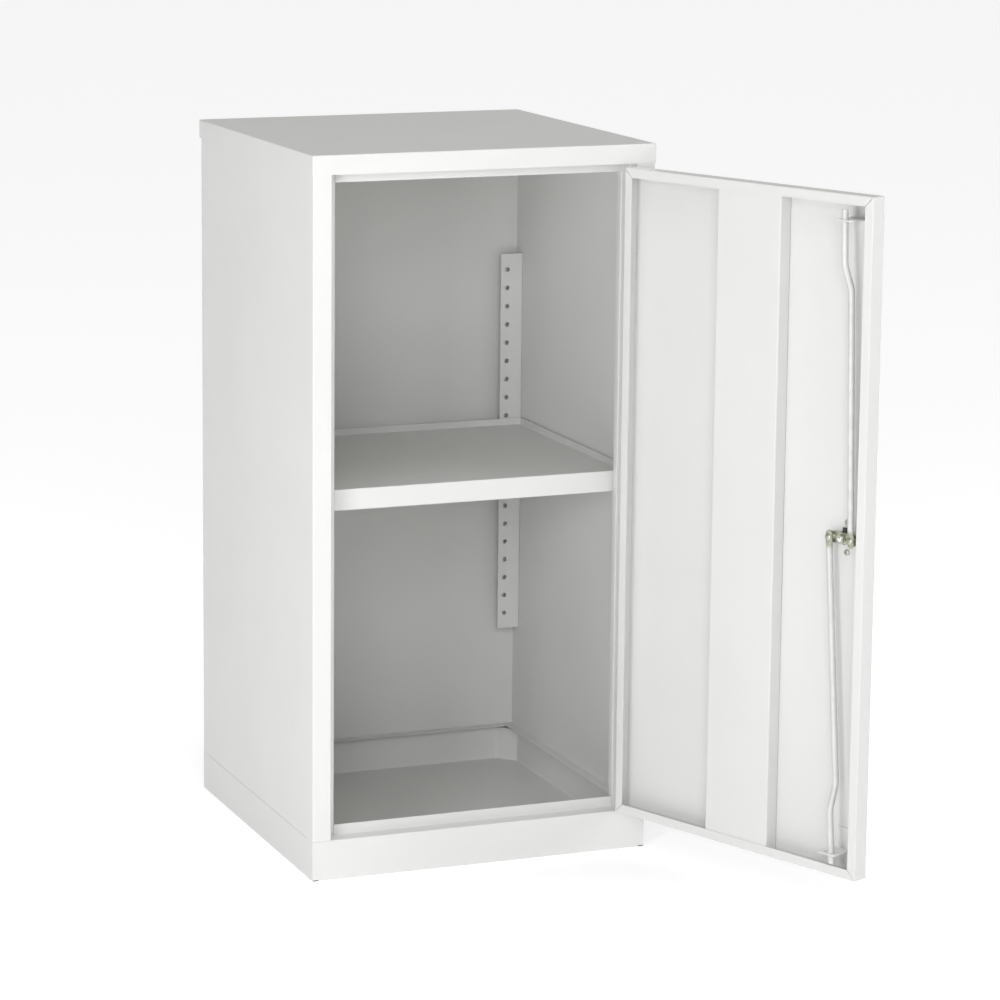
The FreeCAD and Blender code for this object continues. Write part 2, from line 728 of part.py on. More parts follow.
pan_outer = door_block("pan_outer", "0", "0", "size.door_thickness")
pan_hollow = door_block("pan_hollow", "size.panel_sheet", "size.panel_sheet",
                        "size.door_thickness - size.panel_sheet")
pan_mouth = door_block("pan_mouth", "size.door_lip", "size.door_thickness / 2",
                       "size.door_thickness + size.cut_over")
lock_hole = cylinder("lock_hole", "size.handle_snout_radius + size.handle_hole_clearance",
                     "-size.cut_over", "2 * size.cut_over", lock_x, lock_z, along="y")
pan_cuts = [pan_hollow, pan_mouth, lock_hole]
for screw_sign in (-1, 1):
    screw_z = f"({lock_z} + {screw_sign} * size.handle_screw_spacing / 2)"
    pan_cuts.append(cylinder(f"skin_screw_hole_{screw_sign + 1}",
                             "size.handle_screw_radius + size.handle_hole_clearance / 2",
                             "-size.cut_over", "2 * size.cut_over", lock_x, screw_z, along="y"))
pan_cuts.append(hinge_notch("pan_notch_upper", upper_hinge_z, -1))
pan_cuts.append(hinge_notch("pan_notch_lower", lower_hinge_z, -1))
for mitre_number, (edge_x, edge_z, mitre_angle) in enumerate((
    (free_edge, door_bottom, "-45"),
    (hinge_edge, door_bottom, "225"),
    (hinge_edge, door_top, "135"),
    (free_edge, door_top, "45"),
)):
    slit = box(
        f"mitre_slit_{mitre_number}",
        ("size.door_lip / 2", "size.door_thickness - size.panel_sheet - size.mitre_gap", "-size.mitre_gap / 2"),
        ("2 * size.door_lip", "size.door_thickness + size.cut_over", "size.mitre_gap / 2"),
        place(edge_x, "0", edge_z, axis=("0", "1", "0"), angle=mitre_angle),
    )
    pan_cuts.append(slit)
keep(cut("door_panel_cut", pan_outer, fuse("pan_cuts", pan_cuts)), "door_panel", door_frame)


# Door stiffener: a wide channel from top to bottom of the pan, bonded to the skin by its feet.
door_stiffener = new_body("door_stiffener_body")
stiffener_outline = new_sketch(door_stiffener, "XY_Plane")
stiff_right = f"({hinge_edge} - size.stiffener_setback)"
stiff_left = f"({stiff_right} - size.stiffener_width)"
stiff_top = "(size.door_thickness - size.panel_sheet)"
polygon(stiffener_outline, [
    (stiff_left, "size.panel_sheet"),
    (f"{stiff_left} + size.stiffener_foot", "size.panel_sheet"),
    (f"{stiff_left} + size.stiffener_foot", "2 * size.panel_sheet"),
    (f"{stiff_left} + size.panel_sheet", "2 * size.panel_sheet"),
    (f"{stiff_left} + size.panel_sheet", f"{stiff_top} - size.panel_sheet"),
    (f"{stiff_right} - size.panel_sheet", f"{stiff_top} - size.panel_sheet"),
    (f"{stiff_right} - size.panel_sheet", "2 * size.panel_sheet"),
    (f"{stiff_right} - size.stiffener_foot", "2 * size.panel_sheet"),
    (f"{stiff_right} - size.stiffener_foot", "size.panel_sheet"),
    (stiff_right, "size.panel_sheet"),
    (stiff_right, stiff_top),
    (stiff_left, stiff_top),
])
pad(door_stiffener, stiffener_outline, f"{door_top} - {door_bottom} - 2 * size.panel_sheet")
keep(door_stiffener, "door_stiffener", f"{door_frame} * {place(z=f'{door_bottom} + size.panel_sheet')}")


# Rod guides: angle brackets on the door skin, each with a slot that a lock rod slides in.
def rod_guide(name):
    """The guide is drawn about its slot, with its slotted leg level and its foot hanging below."""
    body = new_body(name)
    outline = new_sketch(body, "YZ_Plane")
    leg_end = "(size.rod_tip_depth + size.rod_radius + size.guide_slot_clearance + size.guide_end_wall)"
    foot_face = "(size.panel_sheet + size.guide_sheet)"
    polygon(outline, [
        ("size.panel_sheet", "-size.guide_foot"),
        (foot_face, "-size.guide_foot"),
        (foot_face, "-size.guide_sheet"),
        (leg_end, "-size.guide_sheet"),
        (leg_end, "0"),
        ("size.panel_sheet", "0"),
    ])
    pad(body, outline, "size.guide_width", middle=True)
    slot = new_sketch(body, "XY_Plane", "size.cut_over / 2")
    half_slot = "(size.rod_radius + size.guide_slot_clearance)"
    rectangle(slot, "-size.guide_slot / 2", "size.guide_slot / 2",
              f"size.rod_tip_depth - {half_slot}", f"size.rod_tip_depth + {half_slot}")
    pocket(body, slot, "size.guide_sheet + size.cut_over")
    return body


guide_x = f"({lock_x} - size.guide_offset)"
upper_guide_seat = place(guide_x, "0", f"{lock_z} + {guide_distance}")
keep(rod_guide("upper_rod_guide_body"), "upper_rod_guide", f"{door_frame} * {upper_guide_seat}")
lower_guide_seat = place(guide_x, "0", f"{lock_z} - {guide_distance}", axis=("0", "1", "0"), angle="180")
keep(rod_guide("lower_rod_guide_body"), "lower_rod_guide", f"{door_frame} * {lower_guide_seat}")


# Everything in the lock turns about one line through the door, the lock's own frame.
lock_frame = f"{door_frame} * {place(lock_x, '0', lock_z)}"

# Handle base: the plate outside the door, its snout through the skin and its bore for the spindle.
handle_base = new_body("handle_base_body")
base_plate = new_sketch(handle_base, "XZ_Plane")
rectangle(base_plate, "-size.handle_base_width / 2", "size.handle_base_width / 2",
          "-size.handle_base_height / 2", "size.handle_base_height / 2")
plate_pad = pad(handle_base, base_plate, "size.handle_base_thickness")
corner_edges = []
for edge_number, edge in enumerate(plate_pad.Shape.Edges, start=1):
    if abs(edge.BoundBox.YLength - number("size.handle_base_thickness")) < number("size.mitre_gap"):
        corner_edges.append(f"Edge{edge_number}")
plate_corners = handle_base.newObject("PartDesign::Fillet", "handle_base_corners")
plate_corners.Base = (plate_pad, corner_edges)
plate_corners.setExpression("Radius", "size.handle_base_corner")
document.recompute()
snout = new_sketch(handle_base, "XZ_Plane")
circle(snout, "0", "0", "size.handle_snout_radius")
pad(handle_base, snout, "size.handle_snout_reach", backwards=True)
base_bores = new_sketch(handle_base, "XZ_Plane", "size.handle_base_thickness + size.cut_over")
circle(base_bores, "0", "0", "size.spindle_radius + size.lock_running_clearance")
pocket(handle_base, base_bores, "size.handle_base_thickness + size.handle_snout_reach + 2 * size.cut_over")
screw_bores = new_sketch(handle_base, "XZ_Plane", "-size.cut_over")
for screw_sign in (-1, 1):
    circle(screw_bores, "0", f"{screw_sign} * size.handle_screw_spacing / 2", "size.handle_screw_radius")
pocket(handle_base, screw_bores, "size.handle_base_thickness + size.cut_over - size.panel_sheet",
       backwards=True)
keep(handle_base, "handle_base", lock_frame)


# Handle screws: two pan heads seen inside the door, driven into the base plate.
screws = []
for screw_sign in (-1, 1):
    screw_up = f"{screw_sign} * size.handle_screw_spacing / 2"
    screw_name = f"handle_screw_{screw_sign + 1}"
    head_end = "size.panel_sheet + size.handle_screw_head"
    head = cylinder(f"{screw_name}_head", "size.handle_screw_head_radius", "size.panel_sheet", head_end,
                    "0", screw_up, along="y")
    shank = cylinder(f"{screw_name}_shank", "size.handle_screw_radius",
                     "size.panel_sheet - size.handle_base_thickness", head_end, "0", screw_up, along="y")
    drive = box(
        f"{screw_name}_drive",
        ("-size.handle_screw_radius", f"{head_end} - size.handle_screw_slot",
         f"{screw_up} - size.handle_screw_slot / 2"),
        ("size.handle_screw_radius", f"{head_end} + size.cut_over",
         f"{screw_up} + size.handle_screw_slot / 2"),
    )
    screws.append(cut(screw_name, fuse(f"{screw_name}_solid", [head, shank]), drive))
keep(group("handle_screw_group", screws), "handle_screws", lock_frame)


# Lever handle: a cast hub and arm outside the door, in one piece with the spindle that drives the cam.
square_start = "(size.cam_depth - size.limit_washer_thickness)"
square_end = "(size.cam_depth + size.cam_sheet + size.cam_washer_thickness / 2)"
lever_handle = new_body("lever_handle_body")
hub = new_sketch(lever_handle, "XZ_Plane", hub_back)
circle(hub, "0", "0", "size.handle_hub_radius")
pad(lever_handle, hub, "size.handle_hub_reach")
arm = new_sketch(lever_handle, "XZ_Plane", f"{hub_front} - size.handle_arm_thickness")
polygon(arm, [
    ("0", "-size.handle_arm_root / 2"),
    ("size.handle_arm_length", "-size.handle_arm_tip / 2"),
    ("size.handle_arm_length", "size.handle_arm_tip / 2"),
    ("0", "size.handle_arm_root / 2"),
])
arm_pad = pad(lever_handle, arm, "size.handle_arm_thickness")
arm_edges = []
for edge_number, edge in enumerate(arm_pad.Shape.Edges, start=1):
    if edge.BoundBox.XMax > number("size.handle_hub_radius + size.handle_edge_radius"):
        arm_edges.append(f"Edge{edge_number}")
arm_rounds = lever_handle.newObject("PartDesign::Fillet", "lever_handle_rounds")
arm_rounds.Base = (arm_pad, arm_edges)
arm_rounds.setExpression("Radius", "size.handle_edge_radius")
document.recompute()
spindle = new_sketch(lever_handle, "XZ_Plane", hub_back)
circle(spindle, "0", "0", "size.spindle_radius")
pad(lever_handle, spindle, f"{hub_back} + {square_start}", backwards=True)
square = new_sketch(lever_handle, "XZ_Plane", f"-{square_start}")
rectangle(square, "-size.spindle_square / 2", "size.spindle_square / 2",
          "-size.spindle_square / 2", "size.spindle_square / 2")
pad(lever_handle, square, f"{square_end} - {square_start}", backwards=True)
thread = new_sketch(lever_handle, "XZ_Plane", f"-{square_end}")
circle(thread, "0", "0", "size.spindle_thread_radius")
pad(lever_handle, thread, f"size.spindle_reach - {square_end}", backwards=True)
plug_seat = new_sketch(lever_handle, "XZ_Plane", f"{hub_front} + size.cut_over")
circle(plug_seat, "0", "0", "size.plug_radius + size.lock_running_clearance")
pocket(lever_handle, plug_seat, "size.plug_length + size.handle_face_clearance + size.cut_over")
keep(lever_handle, "lever_handle", lock_frame)


# Lock plug: the key cylinder in the hub, with its keyway.
lock_plug = new_body("lock_plug_body")
plug_outline = new_sketch(lock_plug, "XZ_Plane", f"{hub_front} - size.plug_length")
circle(plug_outline, "0", "0", "size.plug_radius")
pad(lock_plug, plug_outline, "size.plug_length")
keyway = new_sketch(lock_plug, "XZ_Plane", f"{hub_front} + size.cut_over")
rectangle(keyway, "-size.keyway_width / 2", "size.keyway_width / 2",
          "-size.keyway_height / 2", "size.keyway_height / 2")
pocket(lock_plug, keyway, "size.keyway_depth + size.cut_over")
keep(lock_plug, "lock_plug", lock_frame)


# Lock cam: a flat bar on the spindle's square, one rod at each end.
lock_cam = new_body("lock_cam_body")
cam_outline = new_sketch(lock_cam, "XZ_Plane", "-size.cam_depth - size.cam_sheet")
cam_half = "(size.cam_reach + size.rod_eye_width / 2)"
polygon(cam_outline, [
    (f"-{cam_half} + size.cam_bevel", "-size.cam_width / 2"),
    (f"{cam_half} - size.cam_bevel", "-size.cam_width / 2"),
    (cam_half, "size.cam_bevel - size.cam_width / 2"),
    (cam_half, "size.cam_width / 2 - size.cam_bevel"),
    (f"{cam_half} - size.cam_bevel", "size.cam_width / 2"),
    (f"-{cam_half} + size.cam_bevel", "size.cam_width / 2"),
    (f"-{cam_half}", "size.cam_width / 2 - size.cam_bevel"),
    (f"-{cam_half}", "size.cam_bevel - size.cam_width / 2"),
])
pad(lock_cam, cam_outline, "size.cam_sheet")
cam_holes = new_sketch(lock_cam, "XZ_Plane", "-size.cam_depth + size.cut_over")
rectangle(cam_holes, "-size.spindle_square / 2", "size.spindle_square / 2",
          "-size.spindle_square / 2", "size.spindle_square / 2")
circle(cam_holes, "-size.cam_reach", "0", "size.rod_pin_radius")
circle(cam_holes, "size.cam_reach", "0", "size.rod_pin_radius")
pocket(lock_cam, cam_holes, "size.cam_sheet + 2 * size.cut_over")
keep(lock_cam, "lock_cam", lock_frame)


# Limit washer: the black stop ring with one ear under the cam.
limit_washer = new_body("limit_washer_body")
ring = new_sketch(limit_washer, "XZ_Plane", "-size.cam_depth")
circle(ring, "0", "0", "size.limit_washer_radius")
pad(limit_washer, ring, "size.limit_washer_thickness")
ear = new_sketch(limit_washer, "XZ_Plane", "-size.cam_depth")
rectangle(ear, "-size.limit_washer_ear_width / 2", "size.limit_washer_ear_width / 2",
          "0", "size.limit_washer_ear")
pad(limit_washer, ear, "size.limit_washer_thickness")
ring_hole = new_sketch(limit_washer, "XZ_Plane", f"-{square_start} + size.cut_over")
rectangle(ring_hole, "-size.spindle_square / 2", "size.spindle_square / 2",
          "-size.spindle_square / 2", "size.spindle_square / 2")
pocket(limit_washer, ring_hole, "size.limit_washer_thickness + 2 * size.cut_over")
keep(limit_washer, "limit_washer", lock_frame)


# Cam washer and nut: they hold the cam on the threaded end of the spindle.
washer_start = "(size.cam_depth + size.cam_sheet)"
nut_start = f"({washer_start} + size.cam_washer_thickness)"
cam_washer = new_body("cam_washer_body")
cam_washer_outline = new_sketch(cam_washer, "XZ_Plane", f"-{nut_start}")
circle(cam_washer_outline, "0", "0", "size.cam_washer_radius")
pad(cam_washer, cam_washer_outline, "size.cam_washer_thickness")
cam_washer_hole = new_sketch(cam_washer, "XZ_Plane", f"-{washer_start} + size.cut_over")
circle(cam_washer_hole, "0", "0", "size.spindle_square * sqrt(2) / 2 + size.lock_running_clearance")
pocket(cam_washer, cam_washer_hole, "size.cam_washer_thickness + 2 * size.cut_over")
keep(cam_washer, "cam_washer", lock_frame)

cam_nut = new_body("cam_nut_body")
nut_outline = new_sketch(cam_nut, "XZ_Plane", f"-{nut_start} - size.cam_nut_thickness")
hexagon(nut_outline, "size.cam_nut_across_corners / 2")
pad(cam_nut, nut_outline, "size.cam_nut_thickness")
nut_bore = new_sketch(cam_nut, "XZ_Plane", f"-{nut_start} + size.cut_over")
circle(nut_bore, "0", "0", "size.spindle_thread_radius")
pocket(cam_nut, nut_bore, "size.cam_nut_thickness + 2 * size.cut_over")
keep(cam_nut, "cam_nut", lock_frame)


# Rod pins: two shouldered rivets in the cam, each the pivot of one rod.
eye_low = "(size.rod_depth - size.rod_eye_thickness / 2)"
eye_high = "(size.rod_depth + size.rod_eye_thickness / 2)"


def rod_pin(name, side):
    body = new_body(name)
    section = new_sketch(body, "XY_Plane")
    collar = f"({eye_low} - size.rod_side_clearance)"
    head = f"({eye_high} + size.rod_side_clearance)"
    polygon(section, [
        ("0", "size.cam_depth - size.rod_pin_head"),
        ("size.rod_pin_head_radius", "size.cam_depth - size.rod_pin_head"),
        ("size.rod_pin_head_radius", "size.cam_depth"),
        ("size.rod_pin_radius", "size.cam_depth"),
        ("size.rod_pin_radius", "size.cam_depth + size.cam_sheet"),
        ("size.rod_pin_head_radius", "size.cam_depth + size.cam_sheet"),
        ("size.rod_pin_head_radius", collar),
        ("size.rod_pin_radius", collar),
        ("size.rod_pin_radius", head),
        ("size.rod_pin_head_radius", head),
        ("size.rod_pin_head_radius", f"{head} + size.rod_pin_head"),
        ("0", f"{head} + size.rod_pin_head"),
    ])
    revolve(body, section)
    body.setExpression("Placement", place(f"{side} * size.cam_reach"))
    return body


keep(group("rod_pin_group", [rod_pin("rod_pin_upper", -1), rod_pin("rod_pin_lower", 1)]),
     "rod_pins", lock_frame)


# Lock rods: round bar with a flattened eye on its pin, stepped inwards to pass behind the frame's stops.
def lock_rod(name, length):
    """The rod is drawn standing up from its pin, which lies along Y through the origin."""
    lower = cylinder(f"{name}_lower", "size.rod_radius", "size.rod_eye_height / 2 - size.cut_over",
                     rod_bend_near, "0", "size.rod_depth")
    step_out = "(size.rod_tip_depth - size.rod_depth)"
    step = document.addObject("Part::Cylinder", f"{name}_step")
    step.setExpression("Radius", "size.rod_radius")
    step.setExpression("Height", f"sqrt({step_out} ^ 2 + size.rod_bend_length ^ 2)")
    step.setExpression("Placement", place("0", "size.rod_depth", rod_bend_near, axis=("1", "0", "0"),
                                          angle=f"-atan2({step_out}; size.rod_bend_length)"))
    upper = cylinder(f"{name}_upper", "size.rod_radius", rod_bend_far, length, "0", "size.rod_tip_depth")
    knees = []
    for knee_number, (knee_y, knee_z) in enumerate((("size.rod_depth", rod_bend_near),
                                                    ("size.rod_tip_depth", rod_bend_far))):
        knee = document.addObject("Part::Sphere", f"{name}_knee_{knee_number}")
        knee.setExpression("Radius", "size.rod_radius")
        knee.setExpression("Placement", place("0", knee_y, knee_z))
        knees.append(knee)
    eye = box(f"{name}_eye", ("-size.rod_eye_width / 2", eye_low, "-size.rod_eye_height / 2"),
              ("size.rod_eye_width / 2", eye_high, "size.rod_eye_height / 2"))
    solid = fuse(f"{name}_solid", [lower, step, upper, eye] + knees)
    pivot = cylinder(f"{name}_pivot_hole", "size.rod_pin_radius + size.lock_running_clearance",
                     f"{eye_low} - size.cut_over", f"{eye_high} + size.cut_over", along="y")
    return cut(name, solid, pivot)


rod_length = f"(({door_top} - {door_bottom}) / 2 - size.rod_tip_setback)"
upper_lean = f"atan2(size.cam_reach - size.upper_rod_offset; {guide_distance})"
lower_lean = f"atan2(size.cam_reach + size.lower_rod_offset; {guide_distance})"
upper_rod_seat = place("-size.cam_reach", axis=("0", "1", "0"), angle=upper_lean)
keep(lock_rod("upper_rod_cut", rod_length), "upper_lock_rod", f"{lock_frame} * {upper_rod_seat}")


# The lower rod is the same bar turned end for end: it hangs from the other pin.
def hanging_rod(name, length):
    rod = lock_rod(f"{name}_standing", length)
    mirrored = document.addObject("Part::Mirroring", name)
    mirrored.Source = rod
    mirrored.Normal = FreeCAD.Vector(0, 0, 1)
    return mirrored


lower_rod_seat = place("size.cam_reach", axis=("0", "1", "0"), angle=lower_lean)
keep(hanging_rod("lower_rod_mirror", rod_length), "lower_lock_rod", f"{lock_frame} * {lower_rod_seat}")

# Build everything, test it, and write one file for each sub-part.
document.recompute()
for feature in document.Objects:
    if "Invalid" in feature.State or "Error" in feature.State:
        raise RuntimeError(f"{feature.Label} failed: {feature.State}")
for piece in nodes:
    if piece.Shape.isNull() or not piece.Shape.isValid():
        raise RuntimeError(f"{piece.Label} has no valid shape")

os.makedirs("parts", exist_ok=True)
for piece in nodes:
    piece.Shape.exportStep(os.path.join("parts", f"{piece.Label}.step"))
    print(piece.Label, len(piece.Shape.Solids), round(piece.Shape.Volume, 1))
print("solids", sum(len(piece.Shape.Solids) for piece in nodes), "nodes", len(nodes))
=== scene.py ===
import math

import bmesh
import bpy
from mathutils import Matrix, Vector


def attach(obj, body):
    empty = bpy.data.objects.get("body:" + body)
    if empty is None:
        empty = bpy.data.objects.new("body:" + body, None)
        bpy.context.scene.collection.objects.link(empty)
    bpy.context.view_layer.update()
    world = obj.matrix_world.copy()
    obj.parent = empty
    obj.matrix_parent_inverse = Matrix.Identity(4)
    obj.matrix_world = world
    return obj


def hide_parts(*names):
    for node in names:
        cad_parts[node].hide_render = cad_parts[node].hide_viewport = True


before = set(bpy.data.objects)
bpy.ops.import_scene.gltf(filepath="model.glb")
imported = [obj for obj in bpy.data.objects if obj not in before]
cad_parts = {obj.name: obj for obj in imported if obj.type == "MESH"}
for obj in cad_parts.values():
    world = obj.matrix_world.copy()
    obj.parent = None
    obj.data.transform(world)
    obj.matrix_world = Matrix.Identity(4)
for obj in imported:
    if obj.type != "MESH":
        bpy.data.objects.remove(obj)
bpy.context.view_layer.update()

# Plinth front: the kick face, the narrow floor of the door's rebate and the upright door stop behind it.
# One millimetre mild steel, folded from one blank and powder coated white, with two small notches at its
# foot where the corner pads show.
mm = 0.001
sheet = 1.0 * mm
bend = 1.5 * mm
bend_steps = 3
body_half = 227.5 * mm
body_front = -227.5 * mm
body_back = 223 * mm
inner_half = body_half - sheet
stop_front = -205.2 * mm
stop_half = 191 * mm
opening_half = 202.5 * mm
plinth_top = 51 * mm
sill_top = 64 * mm
ledge_under = plinth_top - sheet
toe_inner = 219.5 * mm
toe_outer = 226.5 * mm
toe_rise = 1.2 * mm
overrun = 2 * mm
along_x = (math.radians(90), 0, math.radians(90))
along_y = (math.radians(90), 0, 0)


def only(piece):
    """Leaves one piece selected and active."""
    bpy.ops.object.select_all(action="DESELECT")
    piece.select_set(True)
    bpy.context.view_layer.objects.active = piece


def settle(piece, turn=(0, 0, 0), place=(0, 0, 0)):
    """Turns and moves a piece, and puts that into its mesh."""
    only(piece)
    piece.rotation_euler = turn
    piece.location = place
    bpy.ops.object.transform_apply(location=True, rotation=True, scale=True)


def apply(piece, kind, **settings):
    """Adds a modifier to a piece and makes it part of the mesh."""
    modifier = piece.modifiers.new(kind.lower(), kind)
    for setting, value in settings.items():
        setattr(modifier, setting, value)
    only(piece)
    bpy.ops.object.modifier_apply(modifier=modifier.name)


def work_on(piece):
    """Opens a piece in edit mode with nothing selected."""
    only(piece)
    bpy.ops.object.mode_set(mode="EDIT")
    bpy.ops.mesh.select_all(action="DESELECT")


def leave():
    """Goes back to object mode."""
    bpy.ops.object.mode_set(mode="OBJECT")


def pick_edges(piece, rule):
    """Selects the edges that a rule takes, and nothing else."""
    bpy.ops.mesh.select_mode(type="EDGE")
    bpy.ops.mesh.select_all(action="DESELECT")
    mesh = bmesh.from_edit_mesh(piece.data)
    for edge in mesh.edges:
        if rule(edge):
            edge.select_set(True)
    bmesh.update_edit_mesh(piece.data)


def pick_faces(piece, rule):
    """Selects the faces that a rule takes, and nothing else."""
    bpy.ops.mesh.select_mode(type="FACE")
    bpy.ops.mesh.select_all(action="DESELECT")
    mesh = bmesh.from_edit_mesh(piece.data)
    for face in mesh.faces:
        if rule(face):
            face.select_set(True)
    bmesh.update_edit_mesh(piece.data)


def block(name, low, high):
    """A cube at its size and place."""
    bpy.ops.object.select_all(action="DESELECT")
    low, high = Vector(low), Vector(high)
    bpy.ops.mesh.primitive_cube_add(size=1, location=(low + high) / 2)
    piece = bpy.context.object
    piece.name = name
    piece.scale = high - low
    bpy.ops.object.transform_apply(location=True, rotation=True, scale=True)
    return piece


def fold(name, corners, low, high, side=1, turn=(0, 0, 0), radius=bend, thickness=sheet):
    """Folds a blank: a plane for the first leg, an extruded edge for each further leg, a bevel for each bend,
    and the sheet's thickness on its right (side 1) or left (side -1) along the way."""
    corners = [Vector(corner) for corner in corners]
    leg = corners[1] - corners[0]
    middle = (corners[0] + corners[1]) / 2
    bpy.ops.object.select_all(action="DESELECT")
    bpy.ops.mesh.primitive_plane_add(size=1, location=(middle.x, middle.y, (low + high) / 2),
                                     rotation=(math.radians(90), 0, math.atan2(leg.y, leg.x)))
    piece = bpy.context.object
    piece.name = name
    piece.scale = (leg.length, high - low, 1)
    bpy.ops.object.transform_apply(location=True, rotation=True, scale=True)
    work_on(piece)
    pick_edges(piece, lambda edge: all((end.co.xy - corners[1]).length < 0.1 * mm for end in edge.verts))
    for here, there in zip(corners[1:], corners[2:]):
        step = there - here
        bpy.ops.mesh.extrude_region_move(TRANSFORM_OT_translate={"value": (step.x, step.y, 0)})
    pick_edges(piece, lambda edge: len(edge.link_faces) == 2)
    bpy.ops.mesh.bevel(offset=radius, segments=bend_steps, affect="EDGES")
    leave()
    apply(piece, "SOLIDIFY", thickness=thickness, offset=side, use_even_offset=True)
    settle(piece, turn)
    return piece


def punch(piece, tool):
    """Takes a tool's space out of a piece, and puts the tool away."""
    apply(piece, "BOOLEAN", operation="DIFFERENCE", solver="EXACT", object=tool)
    bpy.data.objects.remove(tool)


def powder_coat(name, colour, roughness):
    """A satin baked powder: a fine orange peel, a slow waviness of the sheet and a faint change of shade."""
    coat = bpy.data.materials.new(name)
    coat.use_nodes = True
    tree = coat.node_tree
    shader = tree.nodes["Principled BSDF"]
    shader.inputs["Specular IOR Level"].default_value = 0.45
    place = tree.nodes.new("ShaderNodeTexCoord")
    shade = tree.nodes.new("ShaderNodeTexNoise")
    shade.inputs["Scale"].default_value = 7
    shade.inputs["Detail"].default_value = 5
    tint = tree.nodes.new("ShaderNodeValToRGB")
    tint.color_ramp.elements[0].position = 0.3
    tint.color_ramp.elements[0].color = [share * 0.975 for share in colour] + [1]
    tint.color_ramp.elements[1].position = 0.7
    tint.color_ramp.elements[1].color = list(colour) + [1]
    rub = tree.nodes.new("ShaderNodeTexNoise")
    rub.inputs["Scale"].default_value = 38
    rub.inputs["Detail"].default_value = 4
    gloss = tree.nodes.new("ShaderNodeMapRange")
    gloss.inputs["To Min"].default_value = roughness - 0.05
    gloss.inputs["To Max"].default_value = roughness + 0.06
    peel = tree.nodes.new("ShaderNodeTexNoise")
    peel.inputs["Scale"].default_value = 520
    peel.inputs["Detail"].default_value = 2
    peel_bump = tree.nodes.new("ShaderNodeBump")
    peel_bump.inputs["Strength"].default_value = 0.25
    peel_bump.inputs["Distance"].default_value = 0.05 * mm
    wave = tree.nodes.new("ShaderNodeTexNoise")
    wave.inputs["Scale"].default_value = 4.5
    wave.inputs["Detail"].default_value = 1
    wave_bump = tree.nodes.new("ShaderNodeBump")
    wave_bump.inputs["Strength"].default_value = 0.35
    wave_bump.inputs["Distance"].default_value = 2 * mm
    for pattern in (shade, rub, peel, wave):
        tree.links.new(place.outputs["Object"], pattern.inputs["Vector"])
    tree.links.new(shade.outputs["Fac"], tint.inputs["Fac"])
    tree.links.new(tint.outputs["Color"], shader.inputs["Base Color"])
    tree.links.new(rub.outputs["Fac"], gloss.inputs["Value"])
    tree.links.new(gloss.outputs["Result"], shader.inputs["Roughness"])
    tree.links.new(wave.outputs["Fac"], wave_bump.inputs["Height"])
    tree.links.new(peel.outputs["Fac"], peel_bump.inputs["Height"])
    tree.links.new(wave_bump.outputs["Normal"], peel_bump.inputs["Normal"])
    tree.links.new(peel_bump.outputs["Normal"], shader.inputs["Normal"])
    return coat


white_coat = powder_coat("white_powder_coat", (0.69, 0.69, 0.667), 0.42)


def hand_over(piece, body, slot, finish, *nodes):
    """Shades a finished piece, gives it its finish and body, and lets it stand for its CAD nodes."""
    only(piece)
    bpy.ops.object.shade_smooth_by_angle(angle=math.radians(38))
    apply(piece, "WEIGHTED_NORMAL", keep_sharp=True)
    piece.data.materials.clear()
    piece.data.materials.append(finish)
    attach(piece, body)
    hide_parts(*nodes)


kick = fold("plinth_front_sheet",
            [(body_front, 0), (body_front, plinth_top), (stop_front, plinth_top), (stop_front, sill_top)],
            -body_half, body_half, turn=along_x)
for side in (-1, 1):
    ends = sorted((side * stop_half, side * (body_half + overrun)))
    punch(kick, block("sill_end", (ends[0], stop_front - 2 * overrun, plinth_top),
                      (ends[1], stop_front + overrun, sill_top + overrun)))
    ends = sorted((side * toe_inner, side * toe_outer))
    punch(kick, block("toe_notch", (ends[0], body_front - overrun, -overrun),
                      (ends[1], body_front + 2 * overrun, toe_rise)))
hand_over(kick, "cabinet", "white_powder_coat", white_coat, "plinth_front")


# Plinth sides and back: upright strips of the same sheet, each with a ledge turned inwards at the top
# that the cabinet's walls stand on. They are welded to the front at the corners.
flange = 14 * mm
plinth_back_y = body_back - sheet
for side, node in ((-1, "plinth_left"), (1, "plinth_right")):
    strip = fold(f"{node}_sheet",
                 [(side * body_half, 0), (side * body_half, plinth_top),
                  (side * (inner_half - flange), plinth_top)],
                 -plinth_back_y, -(body_front + sheet), side=-side, turn=along_y)
    ends = sorted((side * (inner_half - flange - overrun), side * (body_half + overrun)))
    punch(strip, block("ledge_end", (ends[0], body_front - overrun, ledge_under),
                       (ends[1], stop_front + sheet, plinth_top + overrun)))
    hand_over(strip, "cabinet", "white_powder_coat", white_coat, node)
rear = fold("plinth_back_sheet",
            [(body_back, 0), (body_back, plinth_top), (body_back - sheet - flange, plinth_top)],
            -body_half, body_half, side=-1, turn=along_x)
for side in (-1, 1):
    ends = sorted((side * (inner_half - flange), side * (body_half + overrun)))
    punch(rear, block("rear_ledge_end", (ends[0], body_back - 2 * flange, ledge_under - overrun),
                      (ends[1], plinth_back_y, plinth_top + overrun)))
hand_over(rear, "cabinet", "white_powder_coat", white_coat, "plinth_back")


